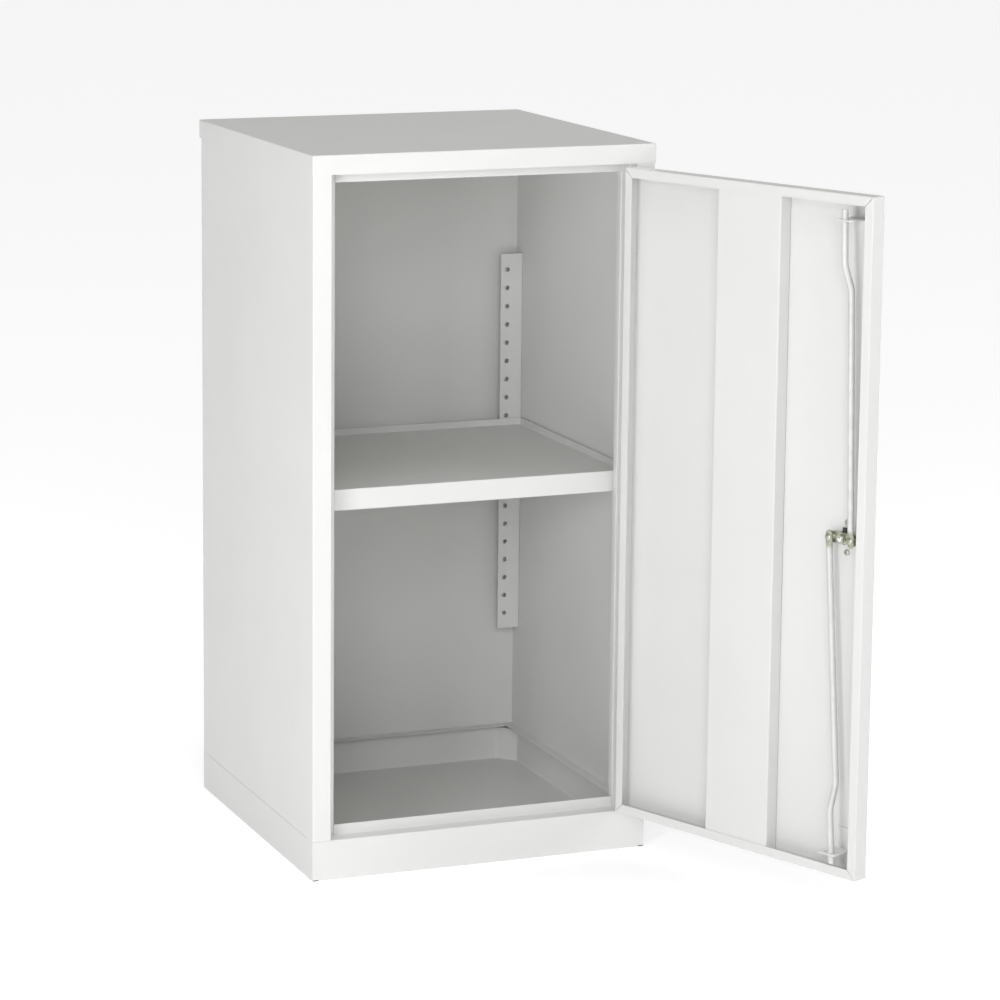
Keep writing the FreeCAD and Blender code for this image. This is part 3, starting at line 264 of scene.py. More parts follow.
# Sump tray: the liquid-tight floor inside the plinth, which holds what a bottle spills.
# A pan of the same sheet with its corners cut across and seam welded, laid in before the walls go on.
sump_rise = 46 * mm
corner_cut = 24 * mm
tray = block("sump_tray_pan", (-inner_half, body_front + sheet, 0), (inner_half, plinth_back_y, sump_rise))
work_on(tray)
pick_edges(tray, lambda edge: abs(edge.verts[0].co.z - edge.verts[1].co.z) > sump_rise / 2)
bpy.ops.mesh.bevel(offset=corner_cut, segments=1, affect="EDGES")
pick_faces(tray, lambda face: face.normal.z > 0.9)
bpy.ops.mesh.delete(type="ONLY_FACE")
pick_edges(tray, lambda edge: len(edge.link_faces) == 2)
bpy.ops.mesh.bevel(offset=3 * mm, segments=bend_steps, affect="EDGES")
leave()
apply(tray, "SOLIDIFY", thickness=sheet, offset=-1, use_even_offset=True)
hand_over(tray, "cabinet", "white_powder_coat", white_coat, "sump_tray")


# Side panels: each wall is one folded sheet with the front stile, the wall of the door's rebate, the door
# stop with its return, and a flange at the rear. The right one is notched where the hinge barrels sit.
wall_top = 914 * mm
rear_flange = 14 * mm
stop_return = 10 * mm
hinge_x = 201.1 * mm
hinge_heights = (777 * mm, 163 * mm)
notch_reach = 3.6 * mm
notch_half = 31.4 * mm
for side, node in ((-1, "left_side"), (1, "right_side")):
    wall = fold(f"{node}_sheet",
                [(side * (body_half - rear_flange), body_back), (side * body_half, body_back),
                 (side * body_half, body_front), (side * opening_half, body_front),
                 (side * opening_half, stop_front), (side * stop_half, stop_front),
                 (side * stop_half, stop_front + stop_return)],
                plinth_top, wall_top, side=side)
    if side > 0:
        for hinge_z in hinge_heights:
            punch(wall, block("hinge_notch", (hinge_x, body_front - overrun, hinge_z - notch_half),
                              (hinge_x + notch_reach, body_front + notch_reach, hinge_z + notch_half)))
    hand_over(wall, "cabinet", "white_powder_coat", white_coat, node)


# Back panel: a flat sheet inside the rear flanges of both walls, spot welded to them.
panel_front = body_back - 2 * sheet
back = block("back_panel_sheet", (-inner_half, panel_front, plinth_top),
             (inner_half, panel_front + sheet, wall_top))
work_on(back)
bpy.ops.mesh.select_all(action="SELECT")
bpy.ops.mesh.bevel(offset=0.2 * mm, segments=2, affect="EDGES")
leave()
hand_over(back, "cabinet", "white_powder_coat", white_coat, "back_panel")


# Top cap: a shallow lid with lips folded down all round, that laps over the walls and hangs past the back.
# Its corners are closed, welded and dressed before coating.
cap_half = 228.5 * mm
cap_top = 915 * mm
lip_bottom = 890.5 * mm
cap = block("top_cap_lid", (-cap_half, -cap_half, lip_bottom), (cap_half, cap_half, cap_top))
work_on(cap)
pick_faces(cap, lambda face: face.normal.z < -0.9)
bpy.ops.mesh.delete(type="ONLY_FACE")
pick_edges(cap, lambda edge: len(edge.link_faces) == 2)
bpy.ops.mesh.bevel(offset=bend, segments=bend_steps, affect="EDGES")
leave()
apply(cap, "SOLIDIFY", thickness=sheet, offset=-1, use_even_offset=True)
hand_over(cap, "cabinet", "white_powder_coat", white_coat, "top_cap")


# Header rail: the door stop across the top of the doorway, an angle welded up under the cap.
header_drop = 12 * mm
header_flange = 20 * mm
header = fold("header_rail_sheet",
              [(stop_front, lip_bottom - header_drop), (stop_front, wall_top),
               (stop_front + header_flange, wall_top)],
              -stop_half, stop_half, turn=along_x)
hand_over(header, "cabinet", "white_powder_coat", white_coat, "header_rail")


# Shelf strips: four angles in the corners, punched at one inch so that the shelf can be set at any height.
# A slightly thicker sheet, welded to the walls before coating.
strip_sheet = 1.2 * mm
strip_low = 194 * mm
strip_high = 720 * mm
strip_inner_x = 194.5 * mm
strip_leg = 15 * mm
strip_hole_x = 204 * mm
strip_top_hole = 698.2 * mm
hole_pitch = 25.4 * mm
hole_radius = 3.25 * mm
hole_count = 20
front_face = -192.3 * mm
rear_face = 199.8 * mm
for node, side, at_front in (("shelf_strip_front_left", -1, True), ("shelf_strip_front_right", 1, True),
                             ("shelf_strip_rear_left", -1, False), ("shelf_strip_rear_right", 1, False)):
    face_y = front_face if at_front else rear_face
    leg_y = face_y - strip_leg if at_front else face_y + strip_leg
    angle = fold(f"{node}_angle",
                 [(side * strip_inner_x, face_y), (side * inner_half, face_y), (side * inner_half, leg_y)],
                 strip_low, strip_high, side=side if at_front else -side, thickness=strip_sheet)
    bpy.ops.mesh.primitive_cylinder_add(vertices=24, radius=hole_radius, depth=4 * overrun,
                                        location=(side * strip_hole_x, face_y, strip_top_hole),
                                        rotation=along_y)
    pins = bpy.context.object
    settle(pins, along_y, pins.location)
    apply(pins, "ARRAY", count=hole_count, use_relative_offset=False, use_constant_offset=True,
          constant_offset_displace=(0, 0, -hole_pitch))
    punch(angle, pins)
    hand_over(angle, "cabinet", "white_powder_coat", white_coat, node)


# Shelf clips: folded steel clips hooked into the strips, each with a peg in one hole and a ledge under the
# shelf. Zinc plated, one at each corner.
def metal(name, colour, roughness, grain_scale, grain_depth):
    """A bare or plated metal: a fine grain in its roughness and surface, and a faint change of shade."""
    finish = bpy.data.materials.new(name)
    finish.use_nodes = True
    tree = finish.node_tree
    shader = tree.nodes["Principled BSDF"]
    shader.inputs["Metallic"].default_value = 1
    place = tree.nodes.new("ShaderNodeTexCoord")
    grain = tree.nodes.new("ShaderNodeTexNoise")
    grain.inputs["Scale"].default_value = grain_scale
    grain.inputs["Detail"].default_value = 6
    cloud = tree.nodes.new("ShaderNodeTexNoise")
    cloud.inputs["Scale"].default_value = 60
    cloud.inputs["Detail"].default_value = 3
    tint = tree.nodes.new("ShaderNodeValToRGB")
    tint.color_ramp.elements[0].position = 0.35
    tint.color_ramp.elements[0].color = [share * 0.92 for share in colour] + [1]
    tint.color_ramp.elements[1].position = 0.65
    tint.color_ramp.elements[1].color = list(colour) + [1]
    gloss = tree.nodes.new("ShaderNodeMapRange")
    gloss.inputs["To Min"].default_value = roughness - 0.08
    gloss.inputs["To Max"].default_value = roughness + 0.1
    bump = tree.nodes.new("ShaderNodeBump")
    bump.inputs["Strength"].default_value = 0.3
    bump.inputs["Distance"].default_value = grain_depth
    tree.links.new(place.outputs["Object"], grain.inputs["Vector"])
    tree.links.new(place.outputs["Object"], cloud.inputs["Vector"])
    tree.links.new(cloud.outputs["Fac"], tint.inputs["Fac"])
    tree.links.new(tint.outputs["Color"], shader.inputs["Base Color"])
    tree.links.new(grain.outputs["Fac"], gloss.inputs["Value"])
    tree.links.new(gloss.outputs["Result"], shader.inputs["Roughness"])
    tree.links.new(grain.outputs["Fac"], bump.inputs["Height"])
    tree.links.new(bump.outputs["Normal"], shader.inputs["Normal"])
    return finish


def rod_blank(name, radius, low, high, turn=(0, 0, 0), place=(0, 0, 0), corner=0.3 * mm, points=32):
    """A round bar along its own Z with its two ends broken, then turned and placed."""
    bpy.ops.object.select_all(action="DESELECT")
    bpy.ops.mesh.primitive_cylinder_add(vertices=points, radius=radius, depth=high - low,
                                        location=(0, 0, (high + low) / 2))
    piece = bpy.context.object
    piece.name = name
    settle(piece, (0, 0, 0), piece.location)
    if corner:
        work_on(piece)
        pick_edges(piece, lambda edge: abs(edge.verts[0].co.z - edge.verts[1].co.z) < corner / 10)
        bpy.ops.mesh.bevel(offset=corner, segments=2, affect="EDGES")
        leave()
    settle(piece, turn, place)
    return piece


def weld(piece, *others):
    """Makes one body of several."""
    for other in others:
        apply(piece, "BOOLEAN", operation="UNION", solver="EXACT", object=other)
        bpy.data.objects.remove(other)


def join(piece, *others):
    """Puts separate like pieces in one object."""
    only(piece)
    for other in others:
        other.select_set(True)
    bpy.ops.object.join()


zinc = metal("zinc", (0.56, 0.57, 0.47), 0.4, 900, 0.02 * mm)
inwards = (math.radians(-90), 0, 0)
clip_sheet = 1.5 * mm
clip_high = 5 * mm
clip_low = -6.5 * mm
clip_ledge = 12 * mm
clip_half = 9 * mm
peg_radius = 2.95 * mm
peg_reach = 2.4 * mm
clip_hole_z = 469.6 * mm
clips = []
for side in (-1, 1):
    for at_front in (True, False):
        clip = fold("shelf_clip_set", [(0, clip_high), (0, clip_low), (clip_ledge, clip_low)],
                    -clip_half, clip_half, side=-1, turn=along_x, radius=2 * mm, thickness=clip_sheet)
        peg = rod_blank("clip_peg", peg_radius, -peg_reach, clip_sheet / 2, inwards)
        weld(clip, peg)
        settle(clip, (0, 0, 0 if at_front else math.radians(180)),
               (side * strip_hole_x, front_face if at_front else rear_face, clip_hole_z))
        clips.append(clip)
join(*clips)
hand_over(clips[0], "cabinet", "zinc", zinc, "shelf_clips")


# Shelf: a shallow tray that keeps a spill on it, with a folded rim, deep skirts and a returned lower edge.
# The same coated sheet, loose on its clips.
shelf_half = 225.2 * mm
shelf_near = -190.3 * mm
shelf_far = 197.8 * mm
shelf_low = 464.6 * mm
shelf_high = 491.6 * mm
rim_width = 3 * mm
dish_depth = 9 * mm
shelf_return = 14 * mm
shelf_bend = 1.2 * mm
shelf = block("shelf_tray", (-shelf_half, shelf_near, shelf_low), (shelf_half, shelf_far, shelf_high))
work_on(shelf)
pick_faces(shelf, lambda face: face.normal.z > 0.9)
bpy.ops.mesh.inset(thickness=rim_width)
bpy.ops.mesh.extrude_region_move(TRANSFORM_OT_translate={"value": (0, 0, -dish_depth)})
pick_faces(shelf, lambda face: face.normal.z < -0.9)
bpy.ops.mesh.inset(thickness=shelf_return)
bpy.ops.mesh.delete(type="FACE")
pick_edges(shelf, lambda edge: len(edge.link_faces) == 2 and edge.calc_face_angle() > 1)
bpy.ops.mesh.bevel(offset=shelf_bend, segments=bend_steps, affect="EDGES")
leave()
apply(shelf, "SOLIDIFY", thickness=sheet, offset=-1, use_even_offset=True)
hand_over(shelf, "shelf", "white_powder_coat", white_coat, "shelf")


# Door: a pan folded from one sheet, with four edges and four inner lips mitred at the corners. It is punched
# for the lock and notched for the hinge barrels, and hangs open past a right angle.
door_turn = (0, 0, math.radians(112.5))
door_place = (hinge_x, body_front, 0)
hinge_edge = -1.4 * mm
free_edge = -401.6 * mm
door_low = 53 * mm
door_high = 887 * mm
door_depth = 21.5 * mm
door_lip = 12 * mm
lock_x = -359.6 * mm
lock_z = 470 * mm
lock_bore = 10.5 * mm
screw_rise = 18.5 * mm
screw_bore = 2.25 * mm
mitre_half = 0.4 * mm
pan = block("door_pan", (free_edge, 0, door_low), (hinge_edge, door_depth, door_high))
work_on(pan)
pick_faces(pan, lambda face: face.normal.y > 0.9)
bpy.ops.mesh.inset(thickness=door_lip)
bpy.ops.mesh.delete(type="FACE")
pick_edges(pan, lambda edge: len(edge.link_faces) == 2 and edge.calc_face_angle() > 1)
bpy.ops.mesh.bevel(offset=bend, segments=bend_steps, affect="EDGES")
pick_edges(pan, lambda edge: len(edge.link_faces) == 2 and edge.calc_length() > door_lip and
           all(face.normal.y > 0.9 for face in edge.link_faces))
bpy.ops.mesh.bevel(offset=mitre_half, segments=1, affect="EDGES")
pick_faces(pan, lambda face: face.normal.y > 0.9 and face.calc_area() < door_lip * door_lip / 8)
bpy.ops.mesh.delete(type="FACE")
leave()
apply(pan, "SOLIDIFY", thickness=sheet, offset=-1, use_even_offset=True)
punch(pan, rod_blank("lock_punch", lock_bore, -overrun, 2 * overrun, inwards, (lock_x, 0, lock_z), corner=0))
for side in (-1, 1):
    punch(pan, rod_blank("screw_punch", screw_bore, -overrun, 2 * overrun, inwards,
                         (lock_x, 0, lock_z + side * screw_rise), corner=0))
for hinge_z in hinge_heights:
    punch(pan, block("barrel_notch", (-notch_reach, -overrun, hinge_z - notch_half),
                     (0, notch_reach, hinge_z + notch_half)))
settle(pan, door_turn, door_place)
hand_over(pan, "door", "white_powder_coat", white_coat, "door_panel")


# Door stiffener: a wide channel from top to bottom of the pan, under the lips. Folded from the same sheet and
# bonded to the skin by its feet.
stiff_right = -156.4 * mm
stiff_left = -258.4 * mm
stiff_foot = 14 * mm
stiff_top = 20.5 * mm
channel = fold("door_stiffener_channel",
               [(stiff_left + stiff_foot, sheet), (stiff_left, sheet), (stiff_left, stiff_top),
                (stiff_right, stiff_top), (stiff_right, sheet), (stiff_right - stiff_foot, sheet)],
               door_low + sheet, door_high - sheet, radius=2 * mm)
settle(channel, door_turn, door_place)
hand_over(channel, "door", "white_powder_coat", white_coat, "door_stiffener")


# Rod guides: small angle brackets welded to the door's skin near its top and bottom, each with a slot that a
# lock rod slides in. Coated with the door.
guide_x = -366.6 * mm
guide_sheet = 1.5 * mm
guide_reach = 34.2 * mm
guide_half = 13 * mm
guide_foot = 28 * mm
rod_tip_y = 27.7 * mm
slot_half = 7.2 * mm
slot_rise = 4.5 * mm
for node, guide_z, side in (("upper_rod_guide", 858 * mm, 1), ("lower_rod_guide", 82 * mm, -1)):
    guide = fold(f"{node}_bracket", [(sheet, -guide_foot), (sheet, 0), (guide_reach, 0)],
                 -guide_half, guide_half, turn=along_x, radius=2.2 * mm, thickness=guide_sheet)
    work_on(guide)
    pick_edges(guide, lambda edge: abs(edge.verts[0].co.z - edge.verts[1].co.z) > guide_sheet * 0.9 and
               edge.verts[0].co.y > guide_reach - 0.1 * mm and edge.calc_length() < 2 * guide_sheet)
    bpy.ops.mesh.bevel(offset=3 * mm, segments=4, affect="EDGES")
    leave()
    slot = block("slot_punch", (-slot_half, rod_tip_y - slot_rise, -2 * overrun),
                 (slot_half, rod_tip_y + slot_rise, overrun))
    work_on(slot)
    pick_edges(slot, lambda edge: abs(edge.verts[0].co.z - edge.verts[1].co.z) > overrun)
    bpy.ops.mesh.bevel(offset=1.2 * mm, segments=3, affect="EDGES")
    leave()
    punch(guide, slot)
    settle(guide, (0, 0 if side > 0 else math.radians(180), 0), (guide_x, 0, guide_z))
    settle(guide, door_turn, door_place)
    hand_over(guide, "door", "white_powder_coat", white_coat, node)


# Lock rods: eight millimetre drawn bar, flattened and pierced at one end for its pin, and joggled so that the
# tip passes behind the frame. A pale, dull zinc plate; the flat eyes are painted darker, a painted reflection
# of the dark surroundings they mirror.
rod_steel = metal("rod_steel", (0.66, 0.665, 0.65), 0.58, 900, 0.01 * mm)
rod_tree = rod_steel.node_tree
rod_shader = rod_tree.nodes["Principled BSDF"]
rod_shader.inputs["Metallic"].default_value = 0.25
plate_tint = rod_shader.inputs["Base Color"].links[0].from_socket
rod_place = rod_tree.nodes.new("ShaderNodeTexCoord")
rod_parts = rod_tree.nodes.new("ShaderNodeSeparateXYZ")
from_lock = rod_tree.nodes.new("ShaderNodeMath")
from_lock.operation = "SUBTRACT"
from_lock.inputs[1].default_value = lock_z
distance = rod_tree.nodes.new("ShaderNodeMath")
distance.operation = "ABSOLUTE"
# Painted reflection: near the lock the flat eyes are painted darker, standing in for the dark surroundings
# their faces mirror.
eye_reflection_mask = rod_tree.nodes.new("ShaderNodeMapRange")
eye_reflection_mask.inputs["From Min"].default_value = 9 * mm
eye_reflection_mask.inputs["From Max"].default_value = 14 * mm
eye_reflection_mask.inputs["To Min"].default_value = 1
eye_reflection_mask.inputs["To Max"].default_value = 0
eye_painted_reflection = rod_tree.nodes.new("ShaderNodeMix")
eye_painted_reflection.data_type = "RGBA"
eye_painted_reflection.inputs[7].default_value = (0.36, 0.37, 0.29, 1)
rod_tree.links.new(rod_place.outputs["Object"], rod_parts.inputs["Vector"])
rod_tree.links.new(rod_parts.outputs["Z"], from_lock.inputs[0])
rod_tree.links.new(from_lock.outputs["Value"], distance.inputs[0])
rod_tree.links.new(distance.outputs["Value"], eye_reflection_mask.inputs["Value"])
rod_tree.links.new(eye_reflection_mask.outputs["Result"], eye_painted_reflection.inputs[0])
rod_tree.links.new(plate_tint, eye_painted_reflection.inputs[6])
rod_tree.links.new(eye_painted_reflection.outputs[2], rod_shader.inputs["Base Color"])
rod_radius = 4 * mm
rod_y = 15.5 * mm
eye_bore = 3.06 * mm
eye_top = 13 * mm
joggle_from = 304 * mm
joggle_to = 334 * mm
rod_end = 400.5 * mm
tip_chamfer = 0.8 * mm
joggle_angle = math.atan2(rod_tip_y - rod_y, joggle_to - joggle_from)
joggle_radius = 22 * mm
joggle_trim = joggle_radius * math.tan(joggle_angle / 2)


def stretch_end(piece, rise, wide=1, deep=1):
    """Draws the open end of a bar on by one ring and gives the ring its new width and depth."""
    bpy.ops.mesh.extrude_region_move(TRANSFORM_OT_translate={"value": (0, 0, rise)})
    bpy.ops.transform.resize(value=(wide, deep, 1), center_override=(0, rod_y, 0))


def lock_rod(name):
    """The bar stands up from its pin, which lies along Y through the origin."""
    bpy.ops.object.select_all(action="DESELECT")
    bpy.ops.mesh.primitive_circle_add(vertices=24, radius=rod_radius, fill_type="NGON",
                                      location=(0, rod_y, eye_top))
    bar = bpy.context.object
    bar.name = name
    settle(bar, (0, 0, 0), bar.location)
    work_on(bar)
    bpy.ops.mesh.select_mode(type="FACE")
    bpy.ops.mesh.select_all(action="SELECT")
    bpy.ops.mesh.extrude_region_move(
        TRANSFORM_OT_translate={"value": (0, 0, joggle_from - joggle_trim - eye_top)})
    bpy.ops.mesh.spin(steps=6, angle=joggle_angle, axis=(1, 0, 0),
                      center=(0, rod_y + joggle_radius, joggle_from - joggle_trim))
    run = math.hypot(rod_tip_y - rod_y, joggle_to - joggle_from) - 2 * joggle_trim
    lean = Vector((0, math.sin(joggle_angle), math.cos(joggle_angle)))
    bpy.ops.mesh.extrude_region_move(TRANSFORM_OT_translate={"value": lean * run})
    bpy.ops.mesh.spin(steps=6, angle=joggle_angle, axis=(-1, 0, 0),
                      center=(0, rod_tip_y - joggle_radius, joggle_to + joggle_trim))
    bpy.ops.mesh.extrude_region_move(
        TRANSFORM_OT_translate={"value": (0, 0, rod_end - joggle_to - joggle_trim - tip_chamfer)})
    bpy.ops.mesh.extrude_region_move(TRANSFORM_OT_translate={"value": (0, 0, tip_chamfer)})
    bpy.ops.transform.resize(value=(0.78, 0.78, 1), center_override=(0, rod_tip_y, rod_end))
    pick_faces(bar, lambda face: face.calc_center_median().z < 1.01 * eye_top and abs(face.normal.z) > 0.9)
    stretch_end(bar, -3 * mm, 1.06, 0.86)
    stretch_end(bar, -3 * mm, 1.08, 0.66 / 0.86)
    stretch_end(bar, -2 * mm, 1.05, 0.55 / 0.66)
    stretch_end(bar, -9 * mm)
    stretch_end(bar, -2.4 * mm, 0.86)
    stretch_end(bar, -1.5 * mm, 0.66)
    stretch_end(bar, -0.85 * mm, 0.35)
    leave()
    punch(bar, rod_blank("eye_drill", eye_bore, 0, 2 * rod_y, inwards, corner=0))
    return bar


cam_reach = 16.8 * mm
upper_bar = lock_rod("upper_lock_rod_bar")
lower_bar = lock_rod("lower_lock_rod_bar")
only(lower_bar)
lower_bar.scale = (1, 1, -1)
bpy.ops.object.transform_apply(scale=True)
work_on(lower_bar)
bpy.ops.mesh.select_all(action="SELECT")
bpy.ops.mesh.normals_make_consistent(inside=False)
leave()
upper_lean = math.radians(1.74196)
lower_lean = math.radians(3.87778)
settle(upper_bar, (0, upper_lean, 0), (lock_x - cam_reach, 0, lock_z))
settle(lower_bar, (0, lower_lean, 0), (lock_x + cam_reach, 0, lock_z))
for bar, node, body in ((upper_bar, "upper_lock_rod", "upper_rod"),
                        (lower_bar, "lower_lock_rod", "lower_rod")):
    settle(bar, door_turn, door_place)
    hand_over(bar, body, "rod_steel", rod_steel, node)


# Handle base: the cast plate outside the door, with a snout through the skin that the spindle turns in.
# Satin chrome, screwed on from inside the door.
cast_chrome = metal("cast_chrome", (0.78, 0.79, 0.8), 0.2, 90, 0.02 * mm)
base_face = -5 * mm
base_half = 17 * mm
base_rise = 33 * mm
base_corner = 6 * mm
snout_radius = 10 * mm
snout_end = 4.5 * mm
spindle_bore = 6.06 * mm
screw_radius = 2 * mm
screw_length = 4 * mm


def hang(piece):
    """Moves a piece from the lock's own line on to the open door."""
    settle(piece, (0, 0, 0), (lock_x, 0, lock_z))
    settle(piece, door_turn, door_place)


plate = block("handle_base_casting", (-base_half, base_face, -base_rise), (base_half, 0, base_rise))
work_on(plate)
pick_edges(plate, lambda edge: abs(edge.verts[0].co.y - edge.verts[1].co.y) > 4 * mm)
bpy.ops.mesh.bevel(offset=base_corner, segments=8, affect="EDGES")
pick_edges(plate, lambda edge: all(end.co.y < base_face + 0.1 * mm for end in edge.verts))
bpy.ops.mesh.bevel(offset=1.2 * mm, segments=4, affect="EDGES")
leave()
weld(plate, rod_blank("snout", snout_radius, -1 * mm, snout_end, inwards, corner=0.5 * mm))
punch(plate, rod_blank("spindle_drill", spindle_bore, base_face - overrun, snout_end + overrun, inwards,
                       corner=0))
for side in (-1, 1):
    punch(plate, rod_blank("screw_drill", screw_radius, -screw_length, overrun, inwards,
                           (0, 0, side * screw_rise), corner=0))
hang(plate)
hand_over(plate, "door", "cast_chrome", cast_chrome, "handle_base")


# Handle screws: two slotted pan heads, seen inside the door on either side of the lock. Zinc plated steel.
def turned(name, stations, points=32):
    """A turned piece along its own Z: a disc drawn on ring by ring, each ring at its height and radius."""
    height, radius = stations[0]
    bpy.ops.object.select_all(action="DESELECT")
    bpy.ops.mesh.primitive_circle_add(vertices=points, radius=radius, fill_type="NGON",
                                      location=(0, 0, height))
    piece = bpy.context.object
    piece.name = name
    settle(piece, (0, 0, 0), piece.location)
    work_on(piece)
    bpy.ops.mesh.select_mode(type="FACE")
    bpy.ops.mesh.select_all(action="SELECT")
    for next_height, next_radius in stations[1:]:
        bpy.ops.mesh.extrude_region_move(TRANSFORM_OT_translate={"value": (0, 0, next_height - height)})
        share = next_radius / radius
        bpy.ops.transform.resize(value=(share, share, 1), center_override=(0, 0, next_height))
        height, radius = next_height, next_radius
    bpy.ops.mesh.select_all(action="SELECT")
    bpy.ops.mesh.normals_make_consistent(inside=False)
    leave()
    return piece


screw_head = 3.7 * mm
screws = []
for side in (-1, 1):
    screw = turned("handle_screw_set", [
        (-screw_length, 1.7 * mm), (-3.7 * mm, screw_radius), (sheet, screw_radius), (sheet, screw_head),
        (2.3 * mm, screw_head), (2.9 * mm, 3.45 * mm), (3.3 * mm, 2.8 * mm), (3.4 * mm, 2 * mm)])
    settle(screw, inwards)
    punch(screw, block("screw_slot", (-screw_radius, 2.4 * mm, -0.5 * mm), (screw_radius, 4 * mm, 0.5 * mm)))
    settle(screw, (0, 0, 0), (0, 0, side * screw_rise))
    screws.append(screw)
join(*screws)
hang(screws[0])
hand_over(screws[0], "door", "zinc", zinc, "handle_screws")


# Lever handle: hub and arm in one casting with the spindle, which goes through the door and ends in a square
# and a thread for the cam. Satin chrome, with the seat of the key cylinder bored in the hub.
hub_back = -5.3 * mm
hub_front = -30.3 * mm
hub_radius = 14 * mm
arm_front = hub_front + 0.15 * mm
arm_half = 10 * mm
arm_taper = 0.75
arm_reach = 112 * mm
arm_back = -21.3 * mm
edge_round = 2 * mm
square_from = 5.5 * mm
square_to = 11 * mm
square_half = 4 * mm
thread_radius = 3 * mm
thread_root = 2.6 * mm
thread_turns = 7
spindle_radius = 6 * mm
plug_bottom = -17 * mm
plug_bore = 5.56 * mm
lever = turned("lever_handle_casting", [
    (hub_front, 11.9 * mm), (hub_front + 0.3 * mm, 13 * mm), (hub_front + 1 * mm, 13.7 * mm),
    (hub_front + 2 * mm, hub_radius), (hub_back - 0.4 * mm, hub_radius), (hub_back, 13.6 * mm)], 48)
settle(lever, inwards)
arm = block("lever_arm", (0, arm_front, -arm_half), (arm_reach, arm_back, arm_half))
work_on(arm)
pick_faces(arm, lambda face: face.normal.x > 0.9)
bpy.ops.transform.resize(value=(1, 1, arm_taper), center_override=(arm_reach, arm_back, 0))
pick_edges(arm, lambda edge: edge.verts[0].co.x + edge.verts[1].co.x > arm_reach / 2)
bpy.ops.mesh.bevel(offset=edge_round, segments=4, affect="EDGES")
leave()
spindle = rod_blank("spindle", spindle_radius, hub_back - 1 * mm, square_from, inwards, corner=0.2 * mm)
square = block("spindle_square", (-square_half, square_from - 1 * mm, -square_half),
               (square_half, square_to, square_half))
work_on(square)
pick_edges(square, lambda edge: abs(edge.verts[0].co.y - edge.verts[1].co.y) > 4 * mm)
bpy.ops.mesh.bevel(offset=0.4 * mm, segments=2, affect="EDGES")
leave()
turns = [(square_to - 1 * mm, thread_root)]
for turn_number in range(thread_turns):
    turns.append((square_to + turn_number * mm, thread_root))
    turns.append((square_to + (turn_number + 0.5) * mm, thread_radius))
turns.append((square_to + thread_turns * mm, 2.2 * mm))
thread = turned("spindle_thread", turns, 24)
settle(thread, inwards)
weld(lever, arm, spindle, square, thread)
punch(lever, rod_blank("plug_drill", plug_bore, hub_front - overrun, plug_bottom, inwards, corner=0))
hang(lever)
hand_over(lever, "lock", "cast_chrome", cast_chrome, "lever_handle")


# Lock plug: the key cylinder seated in the hub, with its keyway in line with the arm's edge.
# Nickelled brass, turned, broached and left bare at the face.
plug_brass = metal("plug_brass", (0.78, 0.72, 0.55), 0.24, 700, 0.01 * mm)
plug_radius = 5.5 * mm
keyway_half = 0.8 * mm
keyway_rise = 3.5 * mm
keyway_depth = 9 * mm
plug = turned("lock_plug_cylinder", [
    (hub_front, 4.9 * mm), (hub_front + 0.4 * mm, plug_radius), (plug_bottom - 0.6 * mm, plug_radius),
    (plug_bottom - 0.3 * mm, 5.2 * mm)])
settle(plug, inwards)
punch(plug, block("key_broach", (-keyway_half, hub_front - overrun, -keyway_rise),
                  (keyway_half, hub_front + keyway_depth, keyway_rise)))
hang(plug)
hand_over(plug, "plug", "plug_brass", plug_brass, "lock_plug")


# Limit washer: the stop ring on the spindle's square, whose one ear meets a stop at each end of the turn.
# Moulded in black plastic.
def moulded(name, colour, roughness):
    """A plain moulding: an even fine grain on its surface and in its gloss."""
    finish = bpy.data.materials.new(name)
    finish.use_nodes = True
    tree = finish.node_tree
    shader = tree.nodes["Principled BSDF"]
    place = tree.nodes.new("ShaderNodeTexCoord")
    cloud = tree.nodes.new("ShaderNodeTexNoise")
    cloud.inputs["Scale"].default_value = 140
    tint = tree.nodes.new("ShaderNodeValToRGB")
    tint.color_ramp.elements[0].color = [share * 0.7 for share in colour] + [1]
    tint.color_ramp.elements[1].color = [share * 1.3 for share in colour] + [1]
    grain = tree.nodes.new("ShaderNodeTexNoise")
    grain.inputs["Scale"].default_value = 1400
    gloss = tree.nodes.new("ShaderNodeMapRange")
    gloss.inputs["To Min"].default_value = roughness - 0.08
    gloss.inputs["To Max"].default_value = roughness + 0.08
    bump = tree.nodes.new("ShaderNodeBump")
    bump.inputs["Strength"].default_value = 0.4
    bump.inputs["Distance"].default_value = 0.03 * mm
    tree.links.new(place.outputs["Object"], cloud.inputs["Vector"])
    tree.links.new(place.outputs["Object"], grain.inputs["Vector"])
    tree.links.new(cloud.outputs["Fac"], tint.inputs["Fac"])
    tree.links.new(tint.outputs["Color"], shader.inputs["Base Color"])
    tree.links.new(grain.outputs["Fac"], gloss.inputs["Value"])
    tree.links.new(gloss.outputs["Result"], shader.inputs["Roughness"])
    tree.links.new(grain.outputs["Fac"], bump.inputs["Height"])
    tree.links.new(bump.outputs["Normal"], shader.inputs["Normal"])
    return finish


black_plastic = moulded("black_plastic", (0.03, 0.03, 0.032), 0.5)
ring_to = 7.5 * mm
ear_half = 2.8 * mm
ear_top = 13 * mm
ear_inset = 0.05 * mm
ring_radius = 8.5 * mm
ring = rod_blank("limit_washer_ring", ring_radius, square_from, ring_to, inwards, corner=0.3 * mm, points=40)
ear = block("limit_ear", (-ear_half, square_from + ear_inset, square_half + 1 * mm),
            (ear_half, ring_to - ear_inset, ear_top))
work_on(ear)
pick_edges(ear, lambda edge: all(end.co.z > ear_top - 1 * mm for end in edge.verts))
bpy.ops.mesh.bevel(offset=0.5 * mm, segments=3, affect="EDGES")
leave()
weld(ring, ear)
punch(ring, block("square_punch", (-square_half, square_from - overrun, -square_half),
                  (square_half, ring_to + overrun, square_half)))
hang(ring)
hand_over(ring, "lock", "black_plastic", black_plastic, "limit_washer")


